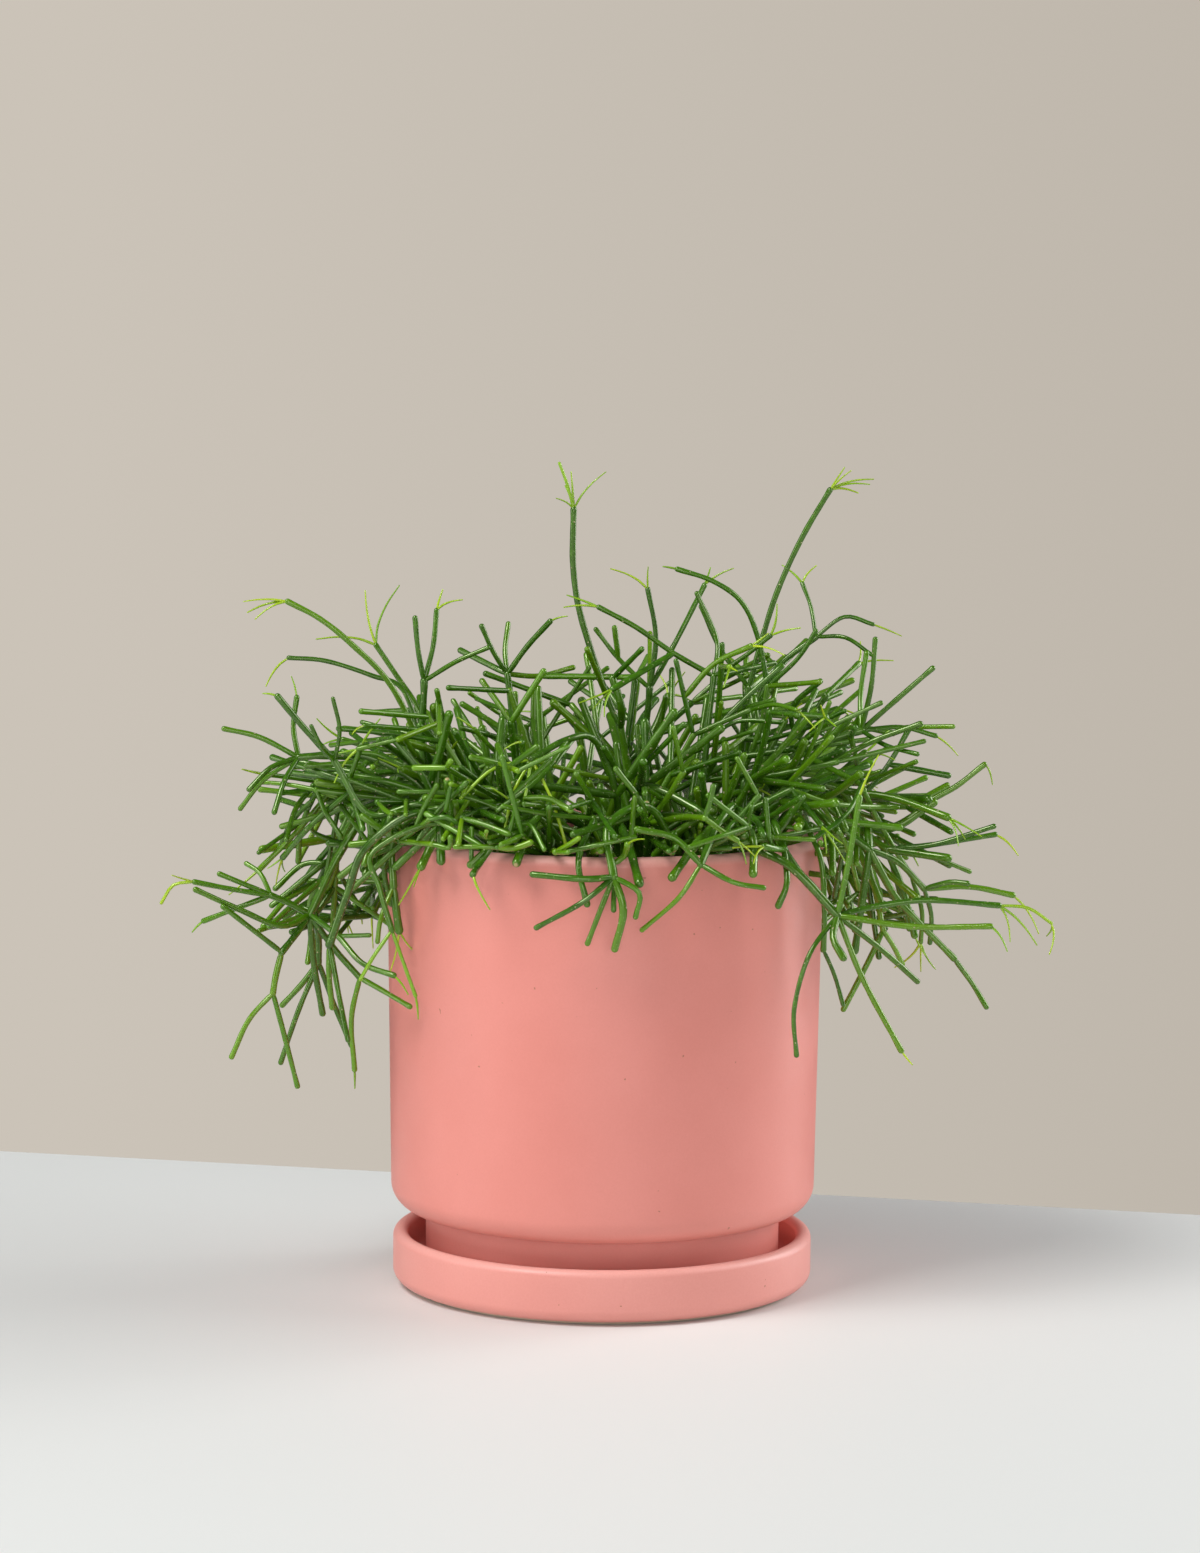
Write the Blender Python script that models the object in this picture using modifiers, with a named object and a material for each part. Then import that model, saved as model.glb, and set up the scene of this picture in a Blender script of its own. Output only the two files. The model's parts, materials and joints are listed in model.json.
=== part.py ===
"""A mistletoe cactus in a glazed clay pot that stands on its saucer.

The frame is +Z up, +X to the right and -Y towards the front. The origin is on the table at the pot's axis.
Sizes and places are in millimetres and are turned into metres as each shape is made.
Every stem that rises from the soil is one object, with all of its own branches.
"""

import math
import random

import bmesh
import bpy
import numpy as np

MM = 0.001
GAP = 0.3  # between pieces that rest on or in each other

# The pot: a tapered cylinder on a narrower foot, with a hole in its floor
RIM_RADIUS = 76.0
RIM_HEIGHT = 159.0
WALL = 6.5
BODY_BASE = 27.0
BODY_LOW_RADIUS = 74.2
BODY_CORNER = 9.0
FOOT_RADIUS = 62.0
FLOOR_THICKNESS = 7.0
DRAIN_RADIUS = 6.0

# The saucer: a low ring wall on a thick floor, with an unglazed foot under it
SAUCER_RADIUS = 73.4
SAUCER_HEIGHT = 19.0
SAUCER_WALL = 5.4
SAUCER_FLOOR = 7.0
SAUCER_CORNER = 4.6
SAUCER_FOOT_RADIUS = 68.5
SAUCER_FOOT_HEIGHT = 0.8

# The soil: fills the pot up to a low mound
SOIL_EDGE_HEIGHT = 146.0
SOIL_MOUND = 4.0
ROOT_DEPTH = 8.0
ROOT_CLEARANCE = 0.55
NECK_HEIGHT = 2.0  # how far a stem rises straight out of the soil

TURN_STEPS = 36
PIT_SIDES = 8

# The stems
THICK_STEM = 1.35  # from this radius a stem has six sides, and four below it
TIP_TAPER = 0.8  # the radius of a free end, as a share of its shoot's
OVERLAP = 0.5  # how far a shoot reaches into its neighbours, as a share of its radius

# How the stems are moved clear of each other, of the pot and of the soil
STEM_GAP = 0.55
POT_GAP = 0.6
SOIL_GAP = 0.8
PAIR_MARGIN = 2.5  # pairs of pieces this much further apart are tested as well
SETTLE_ROUNDS = 140
FREE_SHARE = 0.6  # the share of the rounds in which lengths and straightness are kept
LENGTH_KEEPING = 0.15
STRAIGHTENING = 0.12

# The stems that grow by rule
GROWN_STEMS = 28
GROWN_ROOT_RADIUS = 58.0
ROOT_SPACING = 8.5
ROOT_ROUNDS = 200
GROWN_TRUNK_RADIUS = 1.55
TRUNK_HEIGHTS = (13.0, 40.0)
WHORL_ANGLES = (20.0, 52.0)
SHOOT_LENGTH = 34.0
SHOOT_RADIUS = 1.2
CHANCE_OF_FORK = 0.34
FORK_SHORTENING = 0.78
FORK_THINNING = 0.86
SPILL_REACH = 0.62 * GROWN_ROOT_RADIUS  # a stem rooted further out may hang over the rim
SPILL_RISE = 26.0
CROWN_TOP = 220.0
CROWN_ROUGHNESS = 8.0
CROWN_GIVE = 0.4  # the share of its rise that a shoot keeps above the crown
CROWN_TILT = 0.09  # the crown is a little taller on the right
CROWN_FALL = 34.0
CROWN_REACH = 104.0
CROWN_FRONT_REACH = 90.0
LOWEST_IN_FRONT = RIM_HEIGHT + 4.0  # grown shoots hardly hang over the front of the rim
LOWEST_BESIDE = 100.0
SEED = 8

COLOURS = {
    "pot_glaze": (0.76, 0.31, 0.24, 1.0),
    "saucer_glaze": (0.80, 0.36, 0.28, 1.0),
    "soil": (0.045, 0.028, 0.018, 1.0),
    "stem_skin": (0.10, 0.24, 0.04, 1.0),
}
ROUGHNESS = {"pot_glaze": 0.38, "saucer_glaze": 0.38, "soil": 0.95, "stem_skin": 0.42}

# Each stem lists its shoots as (parent, radius, points). A trunk starts in the soil at its root's x and y,
# and every other shoot starts at the last point of its parent.
STEMS = {
    "tall_stem_middle": {
        "trunk": ("soil", 1.4, [(14, 8), (10, 6, 172), (5, 4, 195)]),
        "mast": ("trunk", 1.2, [(0, 4, 206), (-9, 2, 233), (-12, 0, 251), (-12, -2, 271)]),
        "tuft": ("mast", 0.6, [(-14, -4, 279), (-17, -5, 287)]),
        "side": ("trunk", 1.5, [(5, -5, 203), (2, -6, 213)]),
    },
    "tall_stem_right": {
        "trunk": ("soil", 1.4, [(46, 26), (48, 20, 189), (50, 18, 208)]),
        "mast": ("trunk", 1.1, [(55, 16, 228), (60, 14, 244), (68, 12, 262), (77, 10, 278)]),
        "side": ("trunk", 0.9, [(40, 24, 221), (33, 26, 236)]),
    },
    "left_arching_stem": {
        "trunk": ("soil", 1.5, [(-44, 8), (-56, 4, 172), (-63, 0, 186)]),
        "arch": ("trunk", 1.1, [(-75, -4, 210), (-88, -8, 224), (-99, -10, 233), (-110, -12, 239)]),
        "low_arch": ("trunk", 0.9, [(-71, 6, 207), (-82, 8, 212), (-98, 8, 217), (-111, 8, 218)]),
        "upright": ("trunk", 1.0, [(-66, 10, 200), (-74, 14, 212), (-81, 16, 222)]),
    },
    "left_upright_stem": {
        "trunk": ("soil", 1.4, [(-50, -12), (-62, -11, 183), (-63, -12, 212)]),
        "tip_a": ("trunk", 1.0, [(-65, -15, 223), (-66, -16, 234)]),
        "tip_b": ("trunk", 1.0, [(-60, -9, 224), (-59, -6, 236)]),
        "tip_c": ("trunk", 0.9, [(-52, -15, 219), (-41, -16, 224)]),
    },
    "left_forked_stem": {
        "trunk": ("soil", 1.3, [(-28, 24), (-32, 20, 188), (-35, 20, 212)]),
        "tip_a": ("trunk", 1.0, [(-40, 18, 220), (-44, 16, 229)]),
        "tip_b": ("trunk", 1.0, [(-36, 26, 220), (-35, 30, 229)]),
        "tip_c": ("trunk", 1.1, [(-28, 18, 222), (-20, 16, 231)]),
        "tip_d": ("trunk", 1.0, [(-24, 25, 211), (-12, 26, 214)]),
    },
    "left_shelf_stem": {
        "trunk": ("soil", 1.4, [
            (-50, -26), (-62, -26, 174), (-78, -27, 186), (-91, -28, 188), (-105, -30, 187),
        ]),
        "out": ("trunk", 1.0, [(-118, -32, 194), (-130, -34, 197)]),
        "up": ("trunk", 1.0, [(-107, -26, 197), (-106, -24, 207)]),
        "down_a": ("trunk", 1.0, [(-114, -36, 184), (-121, -40, 177)]),
        "down_b": ("trunk", 0.9, [(-117, -29, 179), (-125, -28, 169)]),
        "down_c": ("trunk", 1.0, [(-109, -40, 180), (-112, -46, 170)]),
    },
    "left_tufted_stem": {
        "trunk": ("soil", 1.3, [(-41, -37), (-60, -44, 171), (-80, -42, 169), (-92, -41, 187)]),
        "out": ("trunk", 1.2, [(-102, -42, 198), (-111, -44, 209)]),
        "up": ("trunk", 0.8, [(-90, -46, 198), (-92, -50, 209)]),
        "side": ("trunk", 0.8, [(-96, -50, 193), (-99, -54, 200)]),
    },
    "trailing_stem_left": {
        "trunk": ("soil", 1.6, [
            (-53, -4), (-64, -14, 172), (-81, -20, 168), (-91, -22, 153), (-101, -28, 133),
        ]),
        "fan": ("trunk", 1.2, [(-108, -31, 137), (-114, -34, 140)]),
        "fan_a": ("fan", 1.0, [(-127, -41, 143), (-139, -46, 146)]),
        "fan_tip": ("fan_a", 0.6, [(-146, -47, 145), (-150, -48, 139)]),
        "fan_b": ("fan", 1.0, [(-122, -38, 144), (-131, -40, 148)]),
        "fan_c": ("fan", 1.0, [(-125, -36, 136), (-137, -34, 131)]),
        "fan_d": ("fan", 0.9, [(-118, -30, 147), (-123, -27, 150)]),
        "long": ("trunk", 1.1, [(-110, -37, 130), (-123, -44, 136), (-138, -51, 144)]),
        "low": ("trunk", 1.3, [(-106, -33, 126), (-110, -37, 121)]),
        "low_out": ("low", 1.0, [(-120, -44, 130), (-129, -49, 138)]),
        "low_down": ("low", 1.2, [(-112, -38, 113), (-113, -38, 107)]),
        "low_end_a": ("low_down", 1.0, [(-121, -40, 98), (-127, -39, 85)]),
        "low_end_b": ("low_down", 1.0, [(-109, -36, 91), (-105, -33, 74)]),
        "straight": ("trunk", 1.2, [(-100, -25, 116), (-97, -24, 98)]),
        "crook": ("trunk", 1.2, [(-99, -17, 124), (-99, -14, 114)]),
        "crook_a": ("crook", 1.1, [(-105, -12, 106), (-112, -8, 98)]),
        "crook_b": ("crook", 1.0, [(-106, -17, 97), (-112, -15, 79)]),
        "crook_c": ("crook", 1.0, [(-94, -10, 99), (-88, -8, 84)]),
        "inner": ("trunk", 1.2, [(-93, -27, 121), (-84, -28, 111)]),
        "inner_end": ("inner", 1.0, [(-87, -24, 96), (-86, -22, 78)]),
        "inner_out": ("inner", 1.0, [(-76, -36, 108), (-66, -46, 104)]),
        "across": ("trunk", 1.1, [(-91, -39, 127), (-82, -48, 119), (-71, -55, 116)]),
    },
    "trailing_stem_left_inner": {
        "trunk": ("soil", 1.5, [
            (-31, -48), (-58, -54, 170), (-79, -58, 160), (-87, -56, 143), (-93, -54, 126),
        ]),
        "drop_a": ("trunk", 1.1, [(-93, -52, 115), (-92, -50, 104)]),
        "drop_b": ("trunk", 1.0, [(-89, -58, 108), (-86, -62, 95)]),
    },
    "left_hanging_stem": {
        "trunk": ("soil", 1.1, [
            (-20, -55), (-52, -62, 170), (-77, -68, 160), (-75, -71, 148), (-71, -72, 134),
        ]),
        "end": ("trunk", 0.7, [(-67, -72, 123), (-63, -72, 112)]),
        "side": ("trunk", 0.7, [(-77, -75, 125), (-81, -77, 118)]),
    },
    "left_front_stem": {
        "trunk": ("soil", 1.5, [(-22, -43), (-50, -50, 172), (-66, -44, 167), (-73, -41, 157), (-72, -39, 144)]),
        "end": ("trunk", 1.5, [(-71, -39, 136), (-70, -39, 129)]),
        "side": ("trunk", 0.9, [(-76, -44, 134), (-77, -46, 126)]),
    },
    "front_left_stem": {
        "trunk": ("soil", 1.3, [(-8, -50), (-24, -64, 170), (-36, -74, 168)]),
        "end_a": ("trunk", 1.2, [(-42, -82, 162), (-44, -84, 154)]),
        "end_b": ("trunk", 0.9, [(-27, -80, 166), (-18, -85, 160)]),
        "end_c": ("trunk", 0.8, [(-37, -84, 172), (-39, -92, 170)]),
    },
    "front_centre_stem": {
        "trunk": ("soil", 1.3, [(6, -46), (5, -58, 168), (-4, -66, 171)]),
        "side_left": ("trunk", 0.9, [(-18, -72, 172), (-34, -76, 176)]),
        "drop_a": ("trunk", 1.2, [(-9, -82, 159), (-6, -86, 145)]),
        "drop_b": ("trunk", 1.0, [(2, -82, 158), (3, -88, 144)]),
    },
    "front_arching_stem": {
        "trunk": ("soil", 1.3, [(4, -30), (4, -38, 176), (-3, -44, 195), (-13, -52, 196), (-25, -58, 190)]),
        "droop_a": ("trunk", 0.6, [(-31, -63, 179), (-34, -66, 165)]),
        "droop_b": ("trunk", 0.6, [(-18, -66, 177), (-13, -70, 162)]),
        "droop_c": ("trunk", 0.6, [(-27, -68, 178)]),
        "droop_d": ("trunk", 0.6, [(-38, -61, 187), (-49, -64, 178)]),
    },
    "front_trailing_stem": {
        "trunk": ("soil", 1.5, [(26, -50), (16, -60, 169), (7, -78, 167), (3, -88, 153)]),
        "left_a": ("trunk", 1.2, [(-7, -91, 154), (-24, -88, 155)]),
        "left_b": ("trunk", 1.0, [(-8, -92, 146), (-23, -87, 137)]),
        "drop_a": ("trunk", 1.0, [(-1, -86, 143), (-6, -84, 131)]),
        "drop_b": ("trunk", 1.4, [(6, -88, 142), (3, -85, 129)]),
        "drop_c": ("trunk", 1.0, [(12, -89, 149), (10, -87, 141)]),
    },
    "front_right_stem": {
        "trunk": ("soil", 1.4, [(42, -40), (44, -56, 170), (41, -72, 166), (31, -84, 158)]),
        "end": ("trunk", 0.9, [(24, -86, 147), (12, -83, 136)]),
        "side": ("trunk", 1.0, [(42, -88, 153), (52, -86, 151)]),
    },
    "front_right_short_stem": {
        "trunk": ("soil", 1.3, [(53, -26), (56, -46, 169), (60, -60, 162)]),
        "end": ("trunk", 1.2, [(60, -66, 151), (58, -66, 143)]),
    },
    "trailing_stem_right": {
        "trunk": ("soil", 1.7, [
            (12, -24), (14, -32, 178), (31, -47, 173), (45, -58, 169), (62, -68, 158), (77, -68, 140),
        ]),
        "up": ("trunk", 1.1, [(81, -72, 160), (84, -72, 180)]),
        "out_a": ("trunk", 1.1, [(90, -64, 142), (108, -62, 144), (132, -58, 142)]),
        "out_tip": ("out_a", 0.6, [(142, -57, 141), (150, -57, 136)]),
        "out_b": ("trunk", 1.1, [(101, -74, 137), (127, -80, 138)]),
        "down": ("trunk", 1.1, [(86, -70, 119), (99, -70, 95)]),
        "down_out": ("trunk", 1.1, [(93, -62, 127), (105, -56, 116)]),
        "down_in": ("trunk", 0.9, [(68, -78, 128), (63, -80, 110), (64, -78, 94)]),
        "stub": ("trunk", 1.4, [(76, -74, 133), (79, -78, 127)]),
    },
    "right_hanging_stem": {
        "trunk": ("soil", 1.1, [(54, -12), (63, -38, 170), (72, -48, 158), (74, -50, 140), (74, -48, 125)]),
        "end": ("trunk", 0.8, [(78, -46, 116), (81, -46, 106)]),
    },
    "right_fanned_stem": {
        "trunk": ("soil", 1.4, [(45, -18), (60, -28, 173), (76, -34, 168), (90, -36, 158)]),
        "low": ("trunk", 1.2, [(99, -36, 142), (106, -36, 134), (119, -38, 121)]),
        "low_end": ("low", 1.0, [(125, -39, 113), (130, -42, 105)]),
        "fan": ("trunk", 1.2, [(100, -32, 153), (109, -32, 144)]),
        "fan_a": ("fan", 1.0, [(117, -37, 147), (123, -40, 147)]),
        "fan_b": ("fan", 1.1, [(125, -26, 144), (140, -24, 141)]),
        "fan_c": ("fan", 0.9, [(112, -26, 134), (112, -22, 124)]),
    },
    "right_shelf_stem": {
        "trunk": ("soil", 1.3, [(56, 2), (68, -6, 172), (84, -12, 166), (97, -16, 156)]),
        "out_a": ("trunk", 1.0, [(113, -22, 158), (133, -26, 165)]),
        "out_b": ("trunk", 1.0, [(115, -12, 157), (135, -8, 160)]),
        "out_c": ("trunk", 0.9, [(110, -6, 153), (127, 0, 146)]),
    },
    "right_upright_stem": {
        "trunk": ("soil", 1.5, [(42, -2), (56, -8, 180), (70, -10, 190), (88, -10, 196)]),
        "up_a": ("trunk", 1.0, [(91, -14, 212), (92, -16, 228)]),
        "up_b": ("trunk", 1.0, [(88, -3, 208), (90, 0, 222)]),
        "out_a": ("trunk", 1.0, [(101, -12, 208), (112, -13, 218)]),
        "out_b": ("trunk", 0.9, [(102, -7, 197), (114, -6, 194)]),
        "front": ("trunk", 0.9, [(96, -22, 192), (106, -30, 190)]),
    },
    "right_low_stem": {
        "trunk": ("soil", 1.4, [(55, 16), (70, 8, 173), (90, 8, 171)]),
        "out": ("trunk", 1.1, [(105, 4, 168), (120, 4, 174), (132, 5, 183)]),
        "up": ("trunk", 1.0, [(99, 12, 182), (106, 14, 194)]),
        "drop": ("trunk", 1.0, [(98, 14, 158), (108, 18, 142)]),
        "drop_end": ("drop", 0.9, [(112, 18, 130), (112, 20, 118)]),
    },
    "right_arching_stem": {
        "trunk": ("soil", 1.2, [(44, 38), (54, 30, 190), (62, 27, 212), (74, 26, 226)]),
        "arch_a": ("trunk", 0.8, [(84, 28, 233), (94, 28, 230)]),
        "arch_b": ("trunk", 0.8, [(84, 20, 226), (93, 18, 220)]),
        "arch_c": ("trunk", 0.8, [(72, 32, 236), (69, 36, 244)]),
    },
    "middle_arching_stem": {
        "trunk": ("soil", 1.3, [(32, -6), (37, -6, 192), (37, -6, 214)]),
        "arch": ("trunk", 1.0, [(23, -8, 222), (10, -10, 231), (-3, -12, 238)]),
        "upright": ("trunk", 0.9, [(38, 2, 226), (31, 4, 242)]),
        "side": ("trunk", 0.9, [(48, -12, 222), (56, -16, 229)]),
    },
    "middle_upright_stem": {
        "trunk": ("soil", 1.3, [(20, 20), (17, 14, 186), (15, 12, 208)]),
        "tip_a": ("trunk", 1.0, [(17, 10, 226), (14, 8, 243)]),
        "tip_b": ("trunk", 1.0, [(24, 17, 224), (34, 19, 244)]),
        "tip_c": ("trunk", 0.9, [(4, 18, 218), (-4, 20, 228)]),
    },
    "middle_right_stem": {
        "trunk": ("soil", 1.2, [(35, 10), (52, 4, 190), (56, 2, 210)]),
        "arch": ("trunk", 1.0, [(52, 0, 228), (46, -3, 240), (36, -5, 247), (24, -7, 251)]),
        "side": ("trunk", 0.9, [(66, -2, 220), (72, -6, 230)]),
    },
}


def unit(vector):
    """This vector at length one."""
    return vector / max(np.linalg.norm(vector), 1e-9)


def unit_rows(rows):
    """Each row of an array at length one."""
    return rows / np.maximum(np.linalg.norm(rows, axis=1), 1e-9)[:, None]


def soil_height(radius):
    """The height of the soil's surface at this distance from the pot's axis."""
    return SOIL_EDGE_HEIGHT + SOIL_MOUND * (1 - (radius / (RIM_RADIUS - WALL)) ** 2)


class Plant:
    """All the stems as one net of points, with a shoot for each run of points between two forks."""

    def __init__(self):
        self.points = []
        self.fixed = []
        self.shoots = []

    def add_point(self, point, fixed=False):
        """Adds a point, and says which number it has."""
        self.points.append(np.array(point, float))
        self.fixed.append(fixed)
        return len(self.points) - 1

    def add_shoot(self, stem, radius, points, parent=None):
        """Adds a run of points. With no parent it starts in the soil, at the x and y of its first point."""
        if parent is None:
            x, y = points[0][:2]
            surface = soil_height(math.hypot(x, y))
            foot = (x, y, surface - ROOT_DEPTH + GAP)
            neck = (x, y, surface + NECK_HEIGHT)
            run = [self.add_point(foot, True), self.add_point(neck, True)]
            points = points[1:]
        else:
            run = [parent["run"][-1]]
        run += [self.add_point(point) for point in points]
        shoot = {"stem": stem, "radius": radius, "run": run, "parent": parent, "forks": False}
        if parent is not None:
            parent["forks"] = True
        self.shoots.append(shoot)
        return shoot

    def edges(self):
        """The two ends, the radius and the stem of every straight piece."""
        stems = dict.fromkeys(shoot["stem"] for shoot in self.shoots)
        order = {name: index for index, name in enumerate(stems)}
        rows = [
            (start, end, shoot["radius"], order[shoot["stem"]])
            for shoot in self.shoots
            for start, end in zip(shoot["run"], shoot["run"][1:])
        ]
        ends = np.array([row[:2] for row in rows])
        return ends, np.array([row[2] for row in rows]), np.array([row[3] for row in rows])


def grow_named_stems(plant):
    """Adds the stems that are listed one by one."""
    for stem, shoots in STEMS.items():
        made = {"soil": None}
        for name, (parent, radius, points) in shoots.items():
            made[name] = plant.add_shoot(stem, radius, points, made[parent])


def free_roots(count, taken, rng):
    """Places in the soil for more stems, on a sunflower spiral, kept away from the roots that are there."""
    golden_angle = math.pi * (3 - math.sqrt(5))
    radii = [GROWN_ROOT_RADIUS * math.sqrt((index + 0.5) / count) for index in range(count)]
    angles = [index * golden_angle + 0.4 for index in range(count)]
    roots = [(radius * math.cos(angle), radius * math.sin(angle)) for radius, angle in zip(radii, angles)]
    places = np.array(list(taken) + roots, float)
    for _ in range(ROOT_ROUNDS):
        for index in range(len(taken), len(places)):
            away = places[index] - places
            distance = np.hypot(*away.T)
            distance[index] = ROOT_SPACING
            near = distance < ROOT_SPACING
            gap = distance[near, None]
            push = (away[near] / gap * (ROOT_SPACING - gap)).sum(axis=0)
            places[index] += 0.5 * push + [rng.uniform(-0.05, 0.05), rng.uniform(-0.05, 0.05)]
            places[index] *= min(1.0, GROWN_ROOT_RADIUS / np.hypot(*places[index]))
    return places[len(taken):]


def turned_direction(direction, angle, around):
    """This direction bent by an angle, towards the side that a turn around it gives."""
    side = unit(np.cross(direction, (0.21, 0.34, 0.92)))
    other = np.cross(direction, side)
    sideways = side * math.cos(around) + other * math.sin(around)
    return unit(direction * math.cos(angle) + sideways * math.sin(angle))


def outward(point):
    """The level direction away from the pot's axis."""
    return unit(np.array([point[0], point[1], 0.0]) + 1e-6)


def hang_limit(point):
    """The lowest height that a grown shoot may reach over a place."""
    front = -point[1] / max(math.hypot(point[0], point[1]), 1.0)
    return LOWEST_IN_FRONT if front > 0.45 else LOWEST_BESIDE


def crown_height(point):
    """The height of the crown over a place: it is a low dome."""
    reach = math.hypot(point[0], point[1])
    return CROWN_TOP + CROWN_TILT * point[0] - CROWN_FALL * (reach / CROWN_REACH) ** 2


def keep_in_crown(point, rng):
    """A point moved inside the rounded space that the plant fills."""
    x, y, z = point
    reach = math.hypot(x, y)
    limit = CROWN_REACH if y > -20 else CROWN_FRONT_REACH
    if reach > limit:
        x, y = x * limit / reach, y * limit / reach
    top = crown_height((x, y)) + rng.uniform(-CROWN_ROUGHNESS, CROWN_ROUGHNESS)
    if z > top:
        z = top + CROWN_GIVE * (z - top)
    return np.array([x, y, max(z, hang_limit(point))])


def bent_run(start, direction, length, rng):
    """The middle and the end of a shoot that leaves in a direction and then sags a little."""
    droop = 0.10 if start[2] > RIM_HEIGHT + SPILL_RISE else 0.22
    middle = start + direction * length * 0.5
    later = unit(direction + np.array([rng.uniform(-0.2, 0.2), rng.uniform(-0.2, 0.2), -droop]))
    return [middle, middle + later * length * 0.5]


def grow_whorl(plant, parent, direction, count, length, radius, depth, rng):
    """Adds shoots that spread from the end of a shoot, and further ones from their ends."""
    start = plant.points[parent["run"][-1]]
    roll = rng.uniform(0, 2 * math.pi)
    pull = 0.30 * min(np.hypot(start[0], start[1]) / RIM_RADIUS, 1.3)
    for index in range(count):
        angle = math.radians(rng.uniform(*WHORL_ANGLES))
        heading = turned_direction(direction, angle, roll + 2 * math.pi * index / count)
        sag = np.array([0, 0, pull * rng.uniform(-0.3, 1.1)])
        heading = unit(heading + outward(start) * pull * 0.6 - sag)
        span = length * rng.uniform(0.75, 1.2)
        run = [keep_in_crown(point, rng) for point in bent_run(start, heading, span, rng)]
        shoot = plant.add_shoot(parent["stem"], radius * rng.uniform(0.9, 1.08), run, parent)
        if depth > 0 and rng.random() < CHANCE_OF_FORK:
            onwards = unit(run[1] - run[0])
            shorter, thinner = length * FORK_SHORTENING, radius * FORK_THINNING
            grow_whorl(plant, shoot, onwards, 2, shorter, thinner, depth - 1, rng)


def spilling_trunk(base, heading, rng):
    """The points of a trunk that leans over the rim and hangs beside the pot."""
    reach = math.hypot(base[0], base[1])
    rise = base + heading * (RIM_RADIUS - 10 - reach) * 0.7 + np.array([0, 0, SPILL_RISE])
    over_rim = base + heading * (RIM_RADIUS + 8 - reach) + np.array([0, 0, SPILL_RISE])
    hub = over_rim + heading * rng.uniform(6, 15) - np.array([0, 0, rng.uniform(12, 30)])
    return [rise, over_rim, hub]


def standing_trunk(base, heading, rng):
    """The points of a trunk that rises from the soil and leans outwards."""
    reach = math.hypot(base[0], base[1]) / GROWN_ROOT_RADIUS
    height = rng.uniform(*TRUNK_HEIGHTS) * (1 - 0.3 * reach)
    lean = heading * (5 + 22 * reach) * rng.uniform(0.7, 1.2)
    middle = base + lean * 0.35 + np.array([0, 0, height * 0.55])
    return [middle, base + lean + np.array([0, 0, height])]


def grow_more_stems(plant, rng):
    """Fills the crown between the named stems, and the back of the plant, by one rule."""
    taken = [shoots["trunk"][2][0][:2] for shoots in STEMS.values()]
    for index, (x, y) in enumerate(free_roots(GROWN_STEMS, taken, rng)):
        reach = math.hypot(x, y)
        base = np.array([x, y, soil_height(reach)])
        spills = reach > SPILL_REACH and y > -6 and index % 2 == 0
        path = spilling_trunk if spills else standing_trunk
        points = path(base, outward(base), rng)
        name = f"crown_stem_{index + 1:02d}"
        trunk = plant.add_shoot(name, GROWN_TRUNK_RADIUS, [(x, y), *points])
        direction = unit(points[-1] - points[-2])
        grow_whorl(plant, trunk, direction, rng.choice((3, 4, 4)), SHOOT_LENGTH, SHOOT_RADIUS, 1, rng)


def nearest_on_pairs(p, q, a, b):
    """Where along each of two straight pieces they come closest, from 0 to 1, for many pairs at once."""
    d1, d2, r = q - p, b - a, p - a
    aa = np.einsum("ij,ij->i", d1, d1) + 1e-9
    ee = np.einsum("ij,ij->i", d2, d2) + 1e-9
    bb = np.einsum("ij,ij->i", d1, d2)
    cc = np.einsum("ij,ij->i", d1, r)
    ff = np.einsum("ij,ij->i", d2, r)
    s = np.clip((bb * ff - cc * ee) / (aa * ee - bb * bb + 1e-9), 0, 1)
    t = np.clip((bb * s + ff) / ee, 0, 1)
    s = np.clip((bb * t - cc) / aa, 0, 1)
    return s, t


def near_pairs(points, ends, radii, stems):
    """Pairs of straight pieces of different stems that are close enough to matter."""
    middles = points[ends].mean(axis=1)
    halves = np.linalg.norm(points[ends[:, 0]] - points[ends[:, 1]], axis=1) / 2
    reach = halves + radii + PAIR_MARGIN
    distance = np.linalg.norm(middles[:, None] - middles[None], axis=2)
    close = (distance < reach[:, None] + reach[None]) & (stems[:, None] != stems[None])
    first, second = np.nonzero(np.triu(close))
    return first, second


def push_apart(points, ends, radii, pairs, moved, weight):
    """Adds to moved what parts the pairs that are too close, and returns the deepest fault."""
    first, second = pairs
    i, j = ends[first].T
    k, m = ends[second].T
    s, t = nearest_on_pairs(points[i], points[j], points[k], points[m])
    on_first = points[i] + (points[j] - points[i]) * s[:, None]
    on_second = points[k] + (points[m] - points[k]) * t[:, None]
    apart = on_first - on_second
    distance = np.linalg.norm(apart, axis=1)
    fault = radii[first] + radii[second] + STEM_GAP - distance
    bad = fault > 0
    if not bad.any():
        return 0.0
    any_way = np.array([0.36, 0.48, 0.8])
    gap = distance[bad, None]
    way = np.where(gap > 1e-4, apart[bad] / np.maximum(gap, 1e-4), any_way)
    step = way * (fault[bad, None] * 0.5 + 0.02)
    for index, share in ((i, 1 - s), (j, s)):
        np.add.at(moved, index[bad], step * share[bad, None])
        np.add.at(weight, index[bad], share[bad])
    for index, share in ((k, 1 - t), (m, t)):
        np.add.at(moved, index[bad], -step * share[bad, None])
        np.add.at(weight, index[bad], share[bad])
    return float(fault[bad].max())


def add_push(moved, weight, ends, share, push, bad):
    """Adds a push at one place along each piece that is at fault, shared between the piece's ends."""
    for column, part in ((0, 1 - share), (1, share)):
        index = ends[bad, column]
        np.add.at(moved, index, push[bad] * part)
        np.add.at(weight, index, part)


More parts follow.
